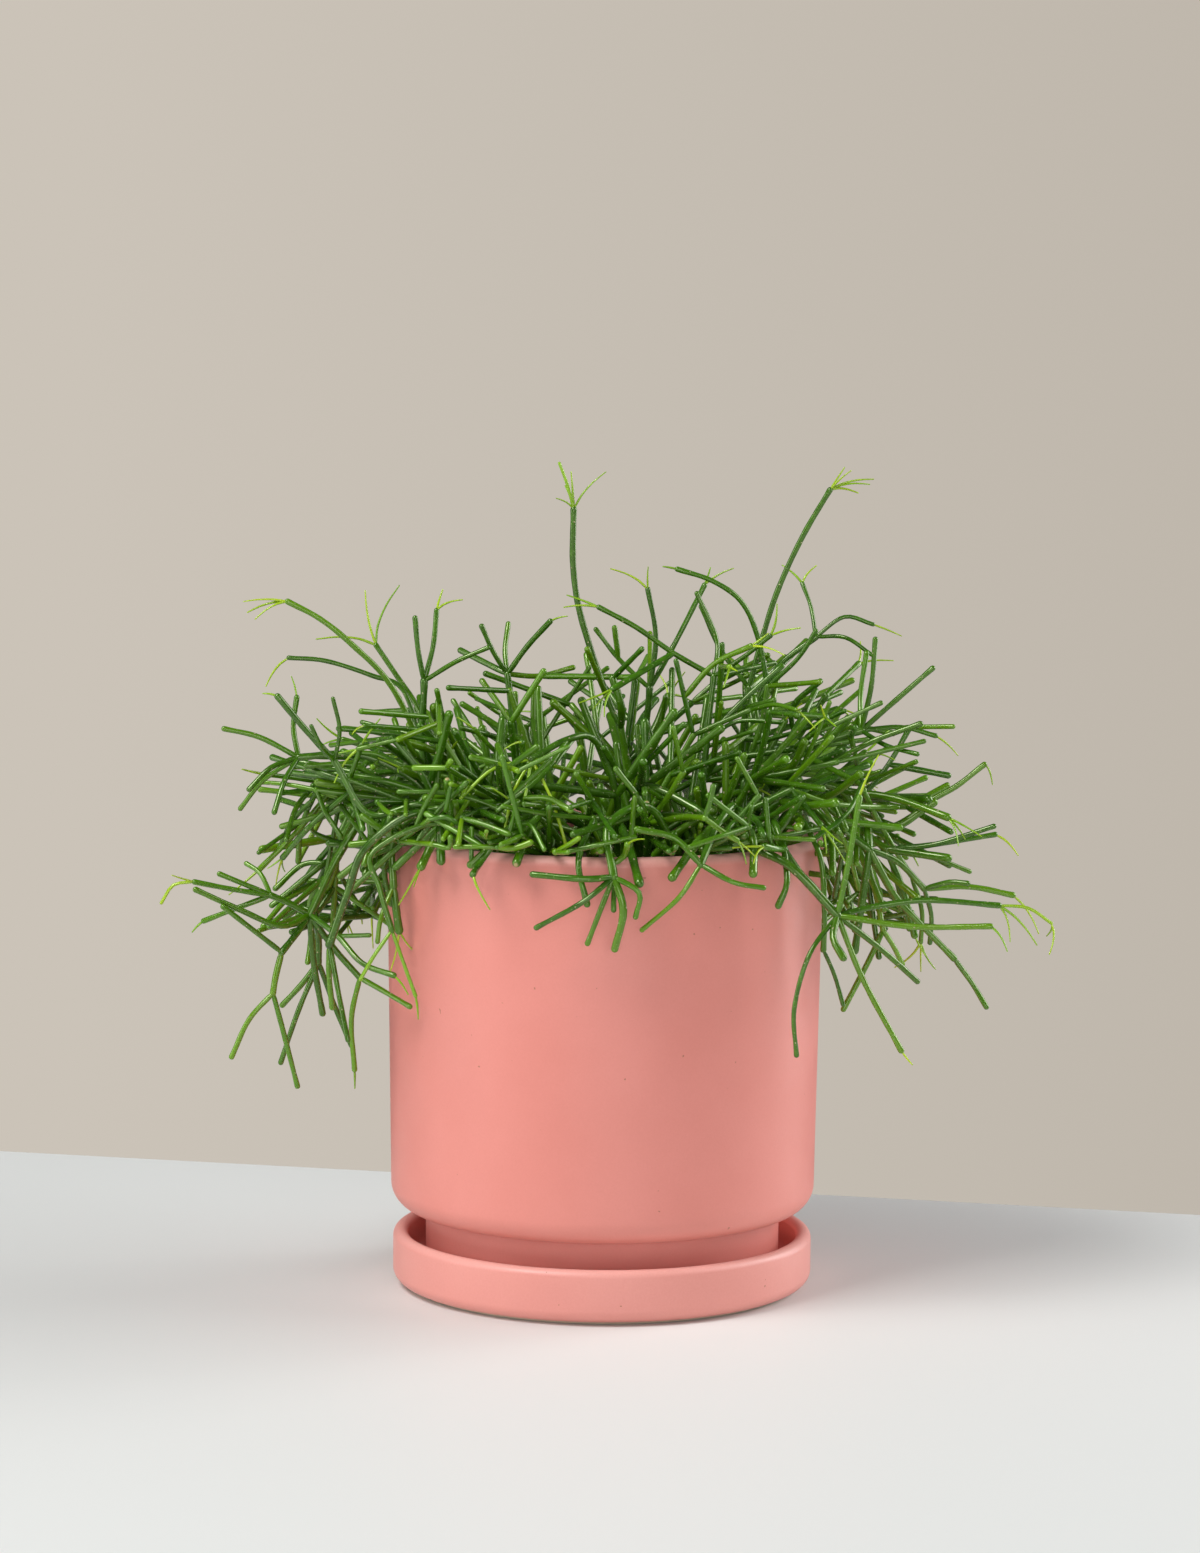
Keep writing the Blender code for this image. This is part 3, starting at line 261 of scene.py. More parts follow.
# Each stem lists its shoots as (parent, radius, points). A trunk starts in the soil at its root's x and y,
# and every other shoot starts at the last point of its parent.
STEMS = {
    "tall_stem_middle": {
        "trunk": ("soil", 1.4, [(14, 8), (10, 6, 172), (5, 4, 195)]),
        "mast": ("trunk", 1.2, [(0, 4, 206), (-9, 2, 233), (-12, 0, 251), (-12, -2, 271)]),
        "tuft": ("mast", 0.6, [(-14, -4, 279), (-17, -5, 287)]),
        "side": ("trunk", 1.5, [(5, -5, 203), (2, -6, 213)]),
    },
    "tall_stem_right": {
        "trunk": ("soil", 1.4, [(46, 26), (48, 20, 189), (50, 18, 208)]),
        "mast": ("trunk", 1.1, [(55, 16, 228), (60, 14, 244), (68, 12, 262), (77, 10, 278)]),
        "side": ("trunk", 0.9, [(40, 24, 221), (33, 26, 236)]),
    },
    "left_arching_stem": {
        "trunk": ("soil", 1.5, [(-44, 8), (-56, 4, 172), (-63, 0, 186)]),
        "arch": ("trunk", 1.1, [(-75, -4, 210), (-88, -8, 224), (-99, -10, 233), (-110, -12, 239)]),
        "low_arch": ("trunk", 0.9, [(-71, 6, 207), (-82, 8, 212), (-98, 8, 217), (-111, 8, 218)]),
        "upright": ("trunk", 1.0, [(-66, 10, 200), (-74, 14, 212), (-81, 16, 222)]),
    },
    "left_upright_stem": {
        "trunk": ("soil", 1.4, [(-50, -12), (-62, -11, 183), (-63, -12, 212)]),
        "tip_a": ("trunk", 1.0, [(-65, -15, 223), (-66, -16, 234)]),
        "tip_b": ("trunk", 1.0, [(-60, -9, 224), (-59, -6, 236)]),
        "tip_c": ("trunk", 0.9, [(-52, -15, 219), (-41, -16, 224)]),
    },
    "left_forked_stem": {
        "trunk": ("soil", 1.3, [(-28, 24), (-32, 20, 188), (-35, 20, 212)]),
        "tip_a": ("trunk", 1.0, [(-40, 18, 220), (-44, 16, 229)]),
        "tip_b": ("trunk", 1.0, [(-36, 26, 220), (-35, 30, 229)]),
        "tip_c": ("trunk", 1.1, [(-28, 18, 222), (-20, 16, 231)]),
        "tip_d": ("trunk", 1.0, [(-24, 25, 211), (-12, 26, 214)]),
    },
    "left_shelf_stem": {
        "trunk": ("soil", 1.4, [
            (-50, -26), (-62, -26, 174), (-78, -27, 186), (-91, -28, 188), (-105, -30, 187),
        ]),
        "out": ("trunk", 1.0, [(-118, -32, 194), (-130, -34, 197)]),
        "up": ("trunk", 1.0, [(-107, -26, 197), (-106, -24, 207)]),
        "down_a": ("trunk", 1.0, [(-114, -36, 184), (-121, -40, 177)]),
        "down_b": ("trunk", 0.9, [(-117, -29, 179), (-125, -28, 169)]),
        "down_c": ("trunk", 1.0, [(-109, -40, 180), (-112, -46, 170)]),
    },
    "left_tufted_stem": {
        "trunk": ("soil", 1.3, [(-41, -37), (-60, -44, 171), (-80, -42, 169), (-92, -41, 187)]),
        "out": ("trunk", 1.2, [(-102, -42, 198), (-111, -44, 209)]),
        "up": ("trunk", 0.8, [(-90, -46, 198), (-92, -50, 209)]),
        "side": ("trunk", 0.8, [(-96, -50, 193), (-99, -54, 200)]),
    },
    "trailing_stem_left": {
        "trunk": ("soil", 1.6, [
            (-53, -4), (-64, -14, 172), (-81, -20, 168), (-91, -22, 153), (-101, -28, 133),
        ]),
        "fan": ("trunk", 1.2, [(-108, -31, 137), (-114, -34, 140)]),
        "fan_a": ("fan", 1.0, [(-127, -41, 143), (-139, -46, 146)]),
        "fan_tip": ("fan_a", 0.6, [(-146, -47, 145), (-150, -48, 139)]),
        "fan_b": ("fan", 1.0, [(-122, -38, 144), (-131, -40, 148)]),
        "fan_c": ("fan", 1.0, [(-125, -36, 136), (-137, -34, 131)]),
        "fan_d": ("fan", 0.9, [(-118, -30, 147), (-123, -27, 150)]),
        "long": ("trunk", 1.1, [(-110, -37, 130), (-123, -44, 136), (-138, -51, 144)]),
        "low": ("trunk", 1.3, [(-106, -33, 126), (-110, -37, 121)]),
        "low_out": ("low", 1.0, [(-120, -44, 130), (-129, -49, 138)]),
        "low_down": ("low", 1.2, [(-112, -38, 113), (-113, -38, 107)]),
        "low_end_a": ("low_down", 1.0, [(-121, -40, 98), (-127, -39, 85)]),
        "low_end_b": ("low_down", 1.0, [(-109, -36, 91), (-105, -33, 74)]),
        "straight": ("trunk", 1.2, [(-100, -25, 116), (-97, -24, 98)]),
        "crook": ("trunk", 1.2, [(-99, -17, 124), (-99, -14, 114)]),
        "crook_a": ("crook", 1.1, [(-105, -12, 106), (-112, -8, 98)]),
        "crook_b": ("crook", 1.0, [(-106, -17, 97), (-112, -15, 79)]),
        "crook_c": ("crook", 1.0, [(-94, -10, 99), (-88, -8, 84)]),
        "inner": ("trunk", 1.2, [(-93, -27, 121), (-84, -28, 111)]),
        "inner_end": ("inner", 1.0, [(-87, -24, 96), (-86, -22, 78)]),
        "inner_out": ("inner", 1.0, [(-76, -36, 108), (-66, -46, 104)]),
        "across": ("trunk", 1.1, [(-91, -39, 127), (-82, -48, 119), (-71, -55, 116)]),
    },
    "trailing_stem_left_inner": {
        "trunk": ("soil", 1.5, [
            (-31, -48), (-58, -54, 170), (-79, -58, 160), (-87, -56, 143), (-93, -54, 126),
        ]),
        "drop_a": ("trunk", 1.1, [(-93, -52, 115), (-92, -50, 104)]),
        "drop_b": ("trunk", 1.0, [(-89, -58, 108), (-86, -62, 95)]),
    },
    "left_hanging_stem": {
        "trunk": ("soil", 1.1, [
            (-20, -55), (-52, -62, 170), (-77, -68, 160), (-75, -71, 148), (-71, -72, 134),
        ]),
        "end": ("trunk", 0.7, [(-67, -72, 123), (-63, -72, 112)]),
        "side": ("trunk", 0.7, [(-77, -75, 125), (-81, -77, 118)]),
    },
    "left_front_stem": {
        "trunk": (
            "soil",
            1.5,
            [(-22, -43), (-50, -50, 172), (-66, -44, 167), (-73, -41, 157), (-72, -39, 144)],
        ),
        "end": ("trunk", 1.5, [(-71, -39, 136), (-70, -39, 129)]),
        "side": ("trunk", 0.9, [(-76, -44, 134), (-77, -46, 126)]),
    },
    "front_left_stem": {
        "trunk": ("soil", 1.3, [(-8, -50), (-24, -64, 170), (-36, -74, 168)]),
        "end_a": ("trunk", 1.2, [(-42, -82, 162), (-44, -84, 154)]),
        "end_b": ("trunk", 0.9, [(-27, -80, 166), (-18, -85, 160)]),
        "end_c": ("trunk", 0.8, [(-37, -84, 172), (-39, -92, 170)]),
    },
    "front_centre_stem": {
        "trunk": ("soil", 1.3, [(6, -46), (5, -58, 168), (-4, -66, 171)]),
        "side_left": ("trunk", 0.9, [(-18, -72, 172), (-34, -76, 176)]),
        "drop_a": ("trunk", 1.2, [(-9, -82, 159), (-6, -86, 145)]),
        "drop_b": ("trunk", 1.0, [(2, -82, 158), (3, -88, 144)]),
    },
    "front_arching_stem": {
        "trunk": ("soil", 1.3, [(4, -30), (4, -38, 176), (-3, -44, 195), (-13, -52, 196), (-25, -58, 190)]),
        "droop_a": ("trunk", 0.6, [(-31, -63, 179), (-34, -66, 165)]),
        "droop_b": ("trunk", 0.6, [(-18, -66, 177), (-13, -70, 162)]),
        "droop_c": ("trunk", 0.6, [(-27, -68, 178)]),
        "droop_d": ("trunk", 0.6, [(-38, -61, 187), (-49, -64, 178)]),
    },
    "front_trailing_stem": {
        "trunk": ("soil", 1.5, [(26, -50), (16, -60, 169), (7, -78, 167), (3, -88, 153)]),
        "left_a": ("trunk", 1.2, [(-7, -91, 154), (-24, -88, 155)]),
        "left_b": ("trunk", 1.0, [(-8, -92, 146), (-23, -87, 137)]),
        "drop_a": ("trunk", 1.0, [(-1, -86, 143), (-6, -84, 131)]),
        "drop_b": ("trunk", 1.4, [(6, -88, 142), (3, -85, 129)]),
        "drop_c": ("trunk", 1.0, [(12, -89, 149), (10, -87, 141)]),
    },
    "front_right_stem": {
        "trunk": ("soil", 1.4, [(42, -40), (44, -56, 170), (41, -72, 166), (31, -84, 158)]),
        "end": ("trunk", 0.9, [(24, -86, 147), (12, -83, 136)]),
        "side": ("trunk", 1.0, [(42, -88, 153), (52, -86, 151)]),
    },
    "front_right_short_stem": {
        "trunk": ("soil", 1.3, [(53, -26), (56, -46, 169), (60, -60, 162)]),
        "end": ("trunk", 1.2, [(60, -66, 151), (58, -66, 143)]),
    },
    "trailing_stem_right": {
        "trunk": ("soil", 1.7, [
            (12, -24), (14, -32, 178), (31, -47, 173), (45, -58, 169), (62, -68, 158), (77, -68, 140),
        ]),
        "up": ("trunk", 1.1, [(81, -72, 160), (84, -72, 180)]),
        "out_a": ("trunk", 1.1, [(90, -64, 142), (108, -62, 144), (132, -58, 142)]),
        "out_tip": ("out_a", 0.6, [(142, -57, 141), (150, -57, 136)]),
        "out_b": ("trunk", 1.1, [(101, -74, 137), (127, -80, 138)]),
        "down": ("trunk", 1.1, [(86, -70, 119), (99, -70, 95)]),
        "down_out": ("trunk", 1.1, [(93, -62, 127), (105, -56, 116)]),
        "down_in": ("trunk", 0.9, [(68, -78, 128), (63, -80, 110), (64, -78, 94)]),
        "stub": ("trunk", 1.4, [(76, -74, 133), (79, -78, 127)]),
    },
    "right_hanging_stem": {
        "trunk": ("soil", 1.1, [(54, -12), (63, -38, 170), (72, -48, 158), (74, -50, 140), (74, -48, 125)]),
        "end": ("trunk", 0.8, [(78, -46, 116), (81, -46, 106)]),
    },
    "right_fanned_stem": {
        "trunk": ("soil", 1.4, [(45, -18), (60, -28, 173), (76, -34, 168), (90, -36, 158)]),
        "low": ("trunk", 1.2, [(99, -36, 142), (106, -36, 134), (119, -38, 121)]),
        "low_end": ("low", 1.0, [(125, -39, 113), (130, -42, 105)]),
        "fan": ("trunk", 1.2, [(100, -32, 153), (109, -32, 144)]),
        "fan_a": ("fan", 1.0, [(117, -37, 147), (123, -40, 147)]),
        "fan_b": ("fan", 1.1, [(125, -26, 144), (140, -24, 141)]),
        "fan_c": ("fan", 0.9, [(112, -26, 134), (112, -22, 124)]),
    },
    "right_shelf_stem": {
        "trunk": ("soil", 1.3, [(56, 2), (68, -6, 172), (84, -12, 166), (97, -16, 156)]),
        "out_a": ("trunk", 1.0, [(113, -22, 158), (133, -26, 165)]),
        "out_b": ("trunk", 1.0, [(115, -12, 157), (135, -8, 160)]),
        "out_c": ("trunk", 0.9, [(110, -6, 153), (127, 0, 146)]),
    },
    "right_upright_stem": {
        "trunk": ("soil", 1.5, [(42, -2), (56, -8, 180), (70, -10, 190), (88, -10, 196)]),
        "up_a": ("trunk", 1.0, [(91, -14, 212), (92, -16, 228)]),
        "up_b": ("trunk", 1.0, [(88, -3, 208), (90, 0, 222)]),
        "out_a": ("trunk", 1.0, [(101, -12, 208), (112, -13, 218)]),
        "out_b": ("trunk", 0.9, [(102, -7, 197), (114, -6, 194)]),
        "front": ("trunk", 0.9, [(96, -22, 192), (106, -30, 190)]),
    },
    "right_low_stem": {
        "trunk": ("soil", 1.4, [(55, 16), (70, 8, 173), (90, 8, 171)]),
        "out": ("trunk", 1.1, [(105, 4, 168), (120, 4, 174), (132, 5, 183)]),
        "up": ("trunk", 1.0, [(99, 12, 182), (106, 14, 194)]),
        "drop": ("trunk", 1.0, [(98, 14, 158), (108, 18, 142)]),
        "drop_end": ("drop", 0.9, [(112, 18, 130), (112, 20, 118)]),
    },
    "right_arching_stem": {
        "trunk": ("soil", 1.2, [(44, 38), (54, 30, 190), (62, 27, 212), (74, 26, 226)]),
        "arch_a": ("trunk", 0.8, [(84, 28, 233), (94, 28, 230)]),
        "arch_b": ("trunk", 0.8, [(84, 20, 226), (93, 18, 220)]),
        "arch_c": ("trunk", 0.8, [(72, 32, 236), (69, 36, 244)]),
    },
    "middle_arching_stem": {
        "trunk": ("soil", 1.3, [(32, -6), (37, -6, 192), (37, -6, 214)]),
        "arch": ("trunk", 1.0, [(23, -8, 222), (10, -10, 231), (-3, -12, 238)]),
        "upright": ("trunk", 0.9, [(38, 2, 226), (31, 4, 242)]),
        "side": ("trunk", 0.9, [(48, -12, 222), (56, -16, 229)]),
    },
    "middle_upright_stem": {
        "trunk": ("soil", 1.3, [(20, 20), (17, 14, 186), (15, 12, 208)]),
        "tip_a": ("trunk", 1.0, [(17, 10, 226), (14, 8, 243)]),
        "tip_b": ("trunk", 1.0, [(24, 17, 224), (34, 19, 244)]),
        "tip_c": ("trunk", 0.9, [(4, 18, 218), (-4, 20, 228)]),
    },
    "middle_right_stem": {
        "trunk": ("soil", 1.2, [(35, 10), (52, 4, 190), (56, 2, 210)]),
        "arch": ("trunk", 1.0, [(52, 0, 228), (46, -3, 240), (36, -5, 247), (24, -7, 251)]),
        "side": ("trunk", 0.9, [(66, -2, 220), (72, -6, 230)]),
    },
}

print(f"{len(STEMS)} stems placed by hand, {sum(len(shoots) for shoots in STEMS.values())} shoots")

# %% [markdown]
# ## A plant as a net of points
#
# All shoots share one list of points, so a child starts exactly where its parent ends. That lets one
# routine move points apart later, and the forks stay whole.

# %% The net of points
def unit(vector):
    """This vector at length one."""
    return vector / max(np.linalg.norm(vector), 1e-9)


def unit_rows(rows):
    """Each row of an array at length one."""
    return rows / np.maximum(np.linalg.norm(rows, axis=1), 1e-9)[:, None]


def soil_height(radius):
    """The height of the soil's surface at this distance from the pot's axis."""
    return SOIL_EDGE_HEIGHT + SOIL_MOUND * (1 - (radius / (RIM_RADIUS - WALL)) ** 2)


class Plant:
    """All the stems as one net of points, with a shoot for each run of points between two forks."""

    def __init__(self):
        self.points = []
        self.fixed = []
        self.shoots = []

    def add_point(self, point, fixed=False):
        """Adds a point, and says which number it has."""
        self.points.append(np.array(point, float))
        self.fixed.append(fixed)
        return len(self.points) - 1

    def add_shoot(self, stem, radius, points, parent=None):
        """Adds a run of points. With no parent it starts in the soil, at the x and y of its first point."""
        if parent is None:
            x, y = points[0][:2]
            surface = soil_height(math.hypot(x, y))
            foot = (x, y, surface - ROOT_DEPTH + GAP)
            neck = (x, y, surface + NECK_HEIGHT)
            run = [self.add_point(foot, True), self.add_point(neck, True)]
            points = points[1:]
        else:
            run = [parent["run"][-1]]
        run += [self.add_point(point) for point in points]
        shoot = {"stem": stem, "radius": radius, "run": run, "parent": parent}
        self.shoots.append(shoot)
        return shoot

    def edges(self):
        """The two ends, the radius and the stem of every straight piece."""
        stems = dict.fromkeys(shoot["stem"] for shoot in self.shoots)
        order = {name: index for index, name in enumerate(stems)}
        rows = [
            (start, end, shoot["radius"], order[shoot["stem"]])
            for shoot in self.shoots
            for start, end in zip(shoot["run"], shoot["run"][1:])
        ]
        ends = np.array([row[:2] for row in rows])
        return ends, np.array([row[2] for row in rows]), np.array([row[3] for row in rows])


def grow_named_stems(plant):
    """Adds the stems that are listed one by one."""
    for stem, shoots in STEMS.items():
        made = {"soil": None}
        for name, (parent, radius, points) in shoots.items():
            made[name] = plant.add_shoot(stem, radius, points, made[parent])

# %% [markdown]
# ## Growing the rest of the crown
#
# Nobody places four hundred shoots by hand. The others follow one rule: a root on a sunflower spiral, a
# trunk that leans outwards, and a whorl of shoots that bend down more the further out they are. The seed
# is fixed, so the same plant grows each time.

# %% The growth rule
# The stems that grow by rule
GROWN_STEMS = 28
GROWN_ROOT_RADIUS = 58.0
ROOT_SPACING = 8.5
ROOT_ROUNDS = 200
GROWN_TRUNK_RADIUS = 1.55
TRUNK_HEIGHTS = (13.0, 40.0)
WHORL_ANGLES = (20.0, 52.0)
SHOOT_LENGTH = 34.0
SHOOT_RADIUS = 1.2
CHANCE_OF_FORK = 0.34
FORK_SHORTENING = 0.78
FORK_THINNING = 0.86
SPILL_REACH = 0.62 * GROWN_ROOT_RADIUS  # a stem rooted further out may hang over the rim
SPILL_RISE = 26.0
CROWN_TOP = 220.0
CROWN_ROUGHNESS = 8.0
CROWN_GIVE = 0.4  # the share of its rise that a shoot keeps above the crown
CROWN_TILT = 0.09  # the crown is a little taller on the right
CROWN_FALL = 34.0
CROWN_REACH = 104.0
CROWN_FRONT_REACH = 90.0
LOWEST_IN_FRONT = RIM_HEIGHT + 4.0  # grown shoots hardly hang over the front of the rim
LOWEST_BESIDE = 100.0
SEED = 8


def free_roots(count, taken, rng):
    """Places in the soil for more stems, on a sunflower spiral, kept away from the roots that are there."""
    golden_angle = math.pi * (3 - math.sqrt(5))
    radii = [GROWN_ROOT_RADIUS * math.sqrt((index + 0.5) / count) for index in range(count)]
    angles = [index * golden_angle + 0.4 for index in range(count)]
    roots = [(radius * math.cos(angle), radius * math.sin(angle)) for radius, angle in zip(radii, angles)]
    places = np.array(list(taken) + roots, float)
    for _ in range(ROOT_ROUNDS):
        for index in range(len(taken), len(places)):
            away = places[index] - places
            distance = np.hypot(*away.T)
            distance[index] = ROOT_SPACING
            near = distance < ROOT_SPACING
            gap = distance[near, None]
            push = (away[near] / gap * (ROOT_SPACING - gap)).sum(axis=0)
            places[index] += 0.5 * push + [rng.uniform(-0.05, 0.05), rng.uniform(-0.05, 0.05)]
            places[index] *= min(1.0, GROWN_ROOT_RADIUS / np.hypot(*places[index]))
    return places[len(taken):]


def turned_direction(direction, angle, around):
    """This direction bent by an angle, towards the side that a turn around it gives."""
    side = unit(np.cross(direction, (0.21, 0.34, 0.92)))
    other = np.cross(direction, side)
    sideways = side * math.cos(around) + other * math.sin(around)
    return unit(direction * math.cos(angle) + sideways * math.sin(angle))


def outward(point):
    """The level direction away from the pot's axis."""
    return unit(np.array([point[0], point[1], 0.0]) + 1e-6)


def hang_limit(point):
    """The lowest height that a grown shoot may reach over a place."""
    front = -point[1] / max(math.hypot(point[0], point[1]), 1.0)
    return LOWEST_IN_FRONT if front > 0.45 else LOWEST_BESIDE


def crown_height(point):
    """The height of the crown over a place: it is a low dome."""
    reach = math.hypot(point[0], point[1])
    return CROWN_TOP + CROWN_TILT * point[0] - CROWN_FALL * (reach / CROWN_REACH) ** 2


def keep_in_crown(point, rng):
    """A point moved inside the rounded space that the plant fills."""
    x, y, z = point
    reach = math.hypot(x, y)
    limit = CROWN_REACH if y > -20 else CROWN_FRONT_REACH
    if reach > limit:
        x, y = x * limit / reach, y * limit / reach
    top = crown_height((x, y)) + rng.uniform(-CROWN_ROUGHNESS, CROWN_ROUGHNESS)
    if z > top:
        z = top + CROWN_GIVE * (z - top)
    return np.array([x, y, max(z, hang_limit(point))])


def bent_run(start, direction, length, rng):
    """The middle and the end of a shoot that leaves in a direction and then sags a little."""
    droop = 0.10 if start[2] > RIM_HEIGHT + SPILL_RISE else 0.22
    middle = start + direction * length * 0.5
    later = unit(direction + np.array([rng.uniform(-0.2, 0.2), rng.uniform(-0.2, 0.2), -droop]))
    return [middle, middle + later * length * 0.5]


def grow_whorl(plant, parent, direction, count, length, radius, depth, rng):
    """Adds shoots that spread from the end of a shoot, and further ones from their ends."""
    start = plant.points[parent["run"][-1]]
    roll = rng.uniform(0, 2 * math.pi)
    pull = 0.30 * min(np.hypot(start[0], start[1]) / RIM_RADIUS, 1.3)
    for index in range(count):
        angle = math.radians(rng.uniform(*WHORL_ANGLES))
        heading = turned_direction(direction, angle, roll + 2 * math.pi * index / count)
        sag = np.array([0, 0, pull * rng.uniform(-0.3, 1.1)])
        heading = unit(heading + outward(start) * pull * 0.6 - sag)
        span = length * rng.uniform(0.75, 1.2)
        run = [keep_in_crown(point, rng) for point in bent_run(start, heading, span, rng)]
        shoot = plant.add_shoot(parent["stem"], radius * rng.uniform(0.9, 1.08), run, parent)
        if depth > 0 and rng.random() < CHANCE_OF_FORK:
            onwards = unit(run[1] - run[0])
            shorter, thinner = length * FORK_SHORTENING, radius * FORK_THINNING
            grow_whorl(plant, shoot, onwards, 2, shorter, thinner, depth - 1, rng)


def spilling_trunk(base, heading, rng):
    """The points of a trunk that leans over the rim and hangs beside the pot."""
    reach = math.hypot(base[0], base[1])
    rise = base + heading * (RIM_RADIUS - 10 - reach) * 0.7 + np.array([0, 0, SPILL_RISE])
    over_rim = base + heading * (RIM_RADIUS + 8 - reach) + np.array([0, 0, SPILL_RISE])
    hub = over_rim + heading * rng.uniform(6, 15) - np.array([0, 0, rng.uniform(12, 30)])
    return [rise, over_rim, hub]


def standing_trunk(base, heading, rng):
    """The points of a trunk that rises from the soil and leans outwards."""
    reach = math.hypot(base[0], base[1]) / GROWN_ROOT_RADIUS
    height = rng.uniform(*TRUNK_HEIGHTS) * (1 - 0.3 * reach)
    lean = heading * (5 + 22 * reach) * rng.uniform(0.7, 1.2)
    middle = base + lean * 0.35 + np.array([0, 0, height * 0.55])
    return [middle, base + lean + np.array([0, 0, height])]


def grow_more_stems(plant, rng):
    """Fills the crown between the named stems, and the back of the plant, by one rule."""
    taken = [shoots["trunk"][2][0][:2] for shoots in STEMS.values()]
    for index, (x, y) in enumerate(free_roots(GROWN_STEMS, taken, rng)):
        reach = math.hypot(x, y)
        base = np.array([x, y, soil_height(reach)])
        spills = reach > SPILL_REACH and y > -6 and index % 2 == 0
        path = spilling_trunk if spills else standing_trunk
        points = path(base, outward(base), rng)
        name = f"crown_stem_{index + 1:02d}"
        trunk = plant.add_shoot(name, GROWN_TRUNK_RADIUS, [(x, y), *points])
        direction = unit(points[-1] - points[-2])
        grow_whorl(plant, trunk, direction, rng.choice((3, 4, 4)), SHOOT_LENGTH, SHOOT_RADIUS, 1, rng)

# %% [markdown]
# ## Settling the stems
#
# Grown shoots run through each other. Real ones push each other aside, so each pair of straight pieces
# that is too close is moved apart, round after round, and the pot's wall, its rim and the soil push back
# too.

# %% Push the stems apart
# How the stems are moved clear of each other, of the pot and of the soil
STEM_GAP = 0.55
POT_GAP = 0.6
SOIL_GAP = 0.8
PAIR_MARGIN = 2.5  # pairs of pieces this much further apart are tested as well
SETTLE_ROUNDS = 140
FREE_SHARE = 0.6  # the share of the rounds in which lengths and straightness are kept
LENGTH_KEEPING = 0.15
STRAIGHTENING = 0.12


def nearest_on_pairs(p, q, a, b):
    """Where along each of two straight pieces they come closest, from 0 to 1, for many pairs at once."""
    d1, d2, r = q - p, b - a, p - a
    aa = np.einsum("ij,ij->i", d1, d1) + 1e-9
    ee = np.einsum("ij,ij->i", d2, d2) + 1e-9
    bb = np.einsum("ij,ij->i", d1, d2)
    cc = np.einsum("ij,ij->i", d1, r)
    ff = np.einsum("ij,ij->i", d2, r)
    s = np.clip((bb * ff - cc * ee) / (aa * ee - bb * bb + 1e-9), 0, 1)
    t = np.clip((bb * s + ff) / ee, 0, 1)
    s = np.clip((bb * t - cc) / aa, 0, 1)
    return s, t


def near_pairs(points, ends, radii, stems):
    """Pairs of straight pieces of different stems that are close enough to matter."""
    middles = points[ends].mean(axis=1)
    halves = np.linalg.norm(points[ends[:, 0]] - points[ends[:, 1]], axis=1) / 2
    reach = halves + radii + PAIR_MARGIN
    distance = np.linalg.norm(middles[:, None] - middles[None], axis=2)
    close = (distance < reach[:, None] + reach[None]) & (stems[:, None] != stems[None])
    first, second = np.nonzero(np.triu(close))
    return first, second


def push_apart(points, ends, radii, pairs, moved, weight):
    """Adds to moved what parts the pairs that are too close, and returns the deepest fault."""
    first, second = pairs
    i, j = ends[first].T
    k, m = ends[second].T
    s, t = nearest_on_pairs(points[i], points[j], points[k], points[m])
    on_first = points[i] + (points[j] - points[i]) * s[:, None]
    on_second = points[k] + (points[m] - points[k]) * t[:, None]
    apart = on_first - on_second
    distance = np.linalg.norm(apart, axis=1)
    fault = radii[first] + radii[second] + STEM_GAP - distance
    bad = fault > 0
    if not bad.any():
        return 0.0
    any_way = np.array([0.36, 0.48, 0.8])
    gap = distance[bad, None]
    way = np.where(gap > 1e-4, apart[bad] / np.maximum(gap, 1e-4), any_way)
    step = way * (fault[bad, None] * 0.5 + 0.02)
    for index, share in ((i, 1 - s), (j, s)):
        np.add.at(moved, index[bad], step * share[bad, None])
        np.add.at(weight, index[bad], share[bad])
    for index, share in ((k, 1 - t), (m, t)):
        np.add.at(moved, index[bad], -step * share[bad, None])
        np.add.at(weight, index[bad], share[bad])
    return float(fault[bad].max())


def add_push(moved, weight, ends, share, push, bad):
    """Adds a push at one place along each piece that is at fault, shared between the piece's ends."""
    for column, part in ((0, 1 - share), (1, share)):
        index = ends[bad, column]
        np.add.at(moved, index, push[bad] * part)
        np.add.at(weight, index, part)


def clear_of_pot(points, ends, radii, moved, weight):
    """Adds to moved what lifts the stems off the pot's wall, its rim and the soil."""
    rim_middle = RIM_RADIUS - WALL / 2
    crest = RIM_HEIGHT - WALL / 2
    for share in (0.0, 0.25, 0.5, 0.75, 1.0):
        place = points[ends[:, 0]] * (1 - share) + points[ends[:, 1]] * share
        radius = np.hypot(place[:, 0], place[:, 1])
        level = unit_rows(np.column_stack([place[:, 0], place[:, 1], np.zeros(len(place))]))
        across = radius - rim_middle
        over = np.maximum(place[:, 2] - crest, 0)
        distance = np.hypot(across, over)
        fault = radii + WALL / 2 + POT_GAP - distance
        way = level * (across / np.maximum(distance, 1e-3))[:, None]
        way[:, 2] = over / np.maximum(distance, 1e-3)
        add_push(moved, weight, ends, share, way * np.maximum(fault, 0)[:, None], fault > 0)
        lowest = soil_height(radius) + radii + SOIL_GAP
        sunk = np.where(radius < rim_middle, lowest - place[:, 2], -1.0)
        add_push(moved, weight, ends, share, np.outer(np.maximum(sunk, 0), (0, 0, 1)), sunk > 0)


def straighten(points, runs):
    """Draws the middle of each run of three points towards the straight line between its ends."""
    before, here, after = runs.T
    points[here] += STRAIGHTENING * ((points[before] + points[after]) / 2 - points[here])


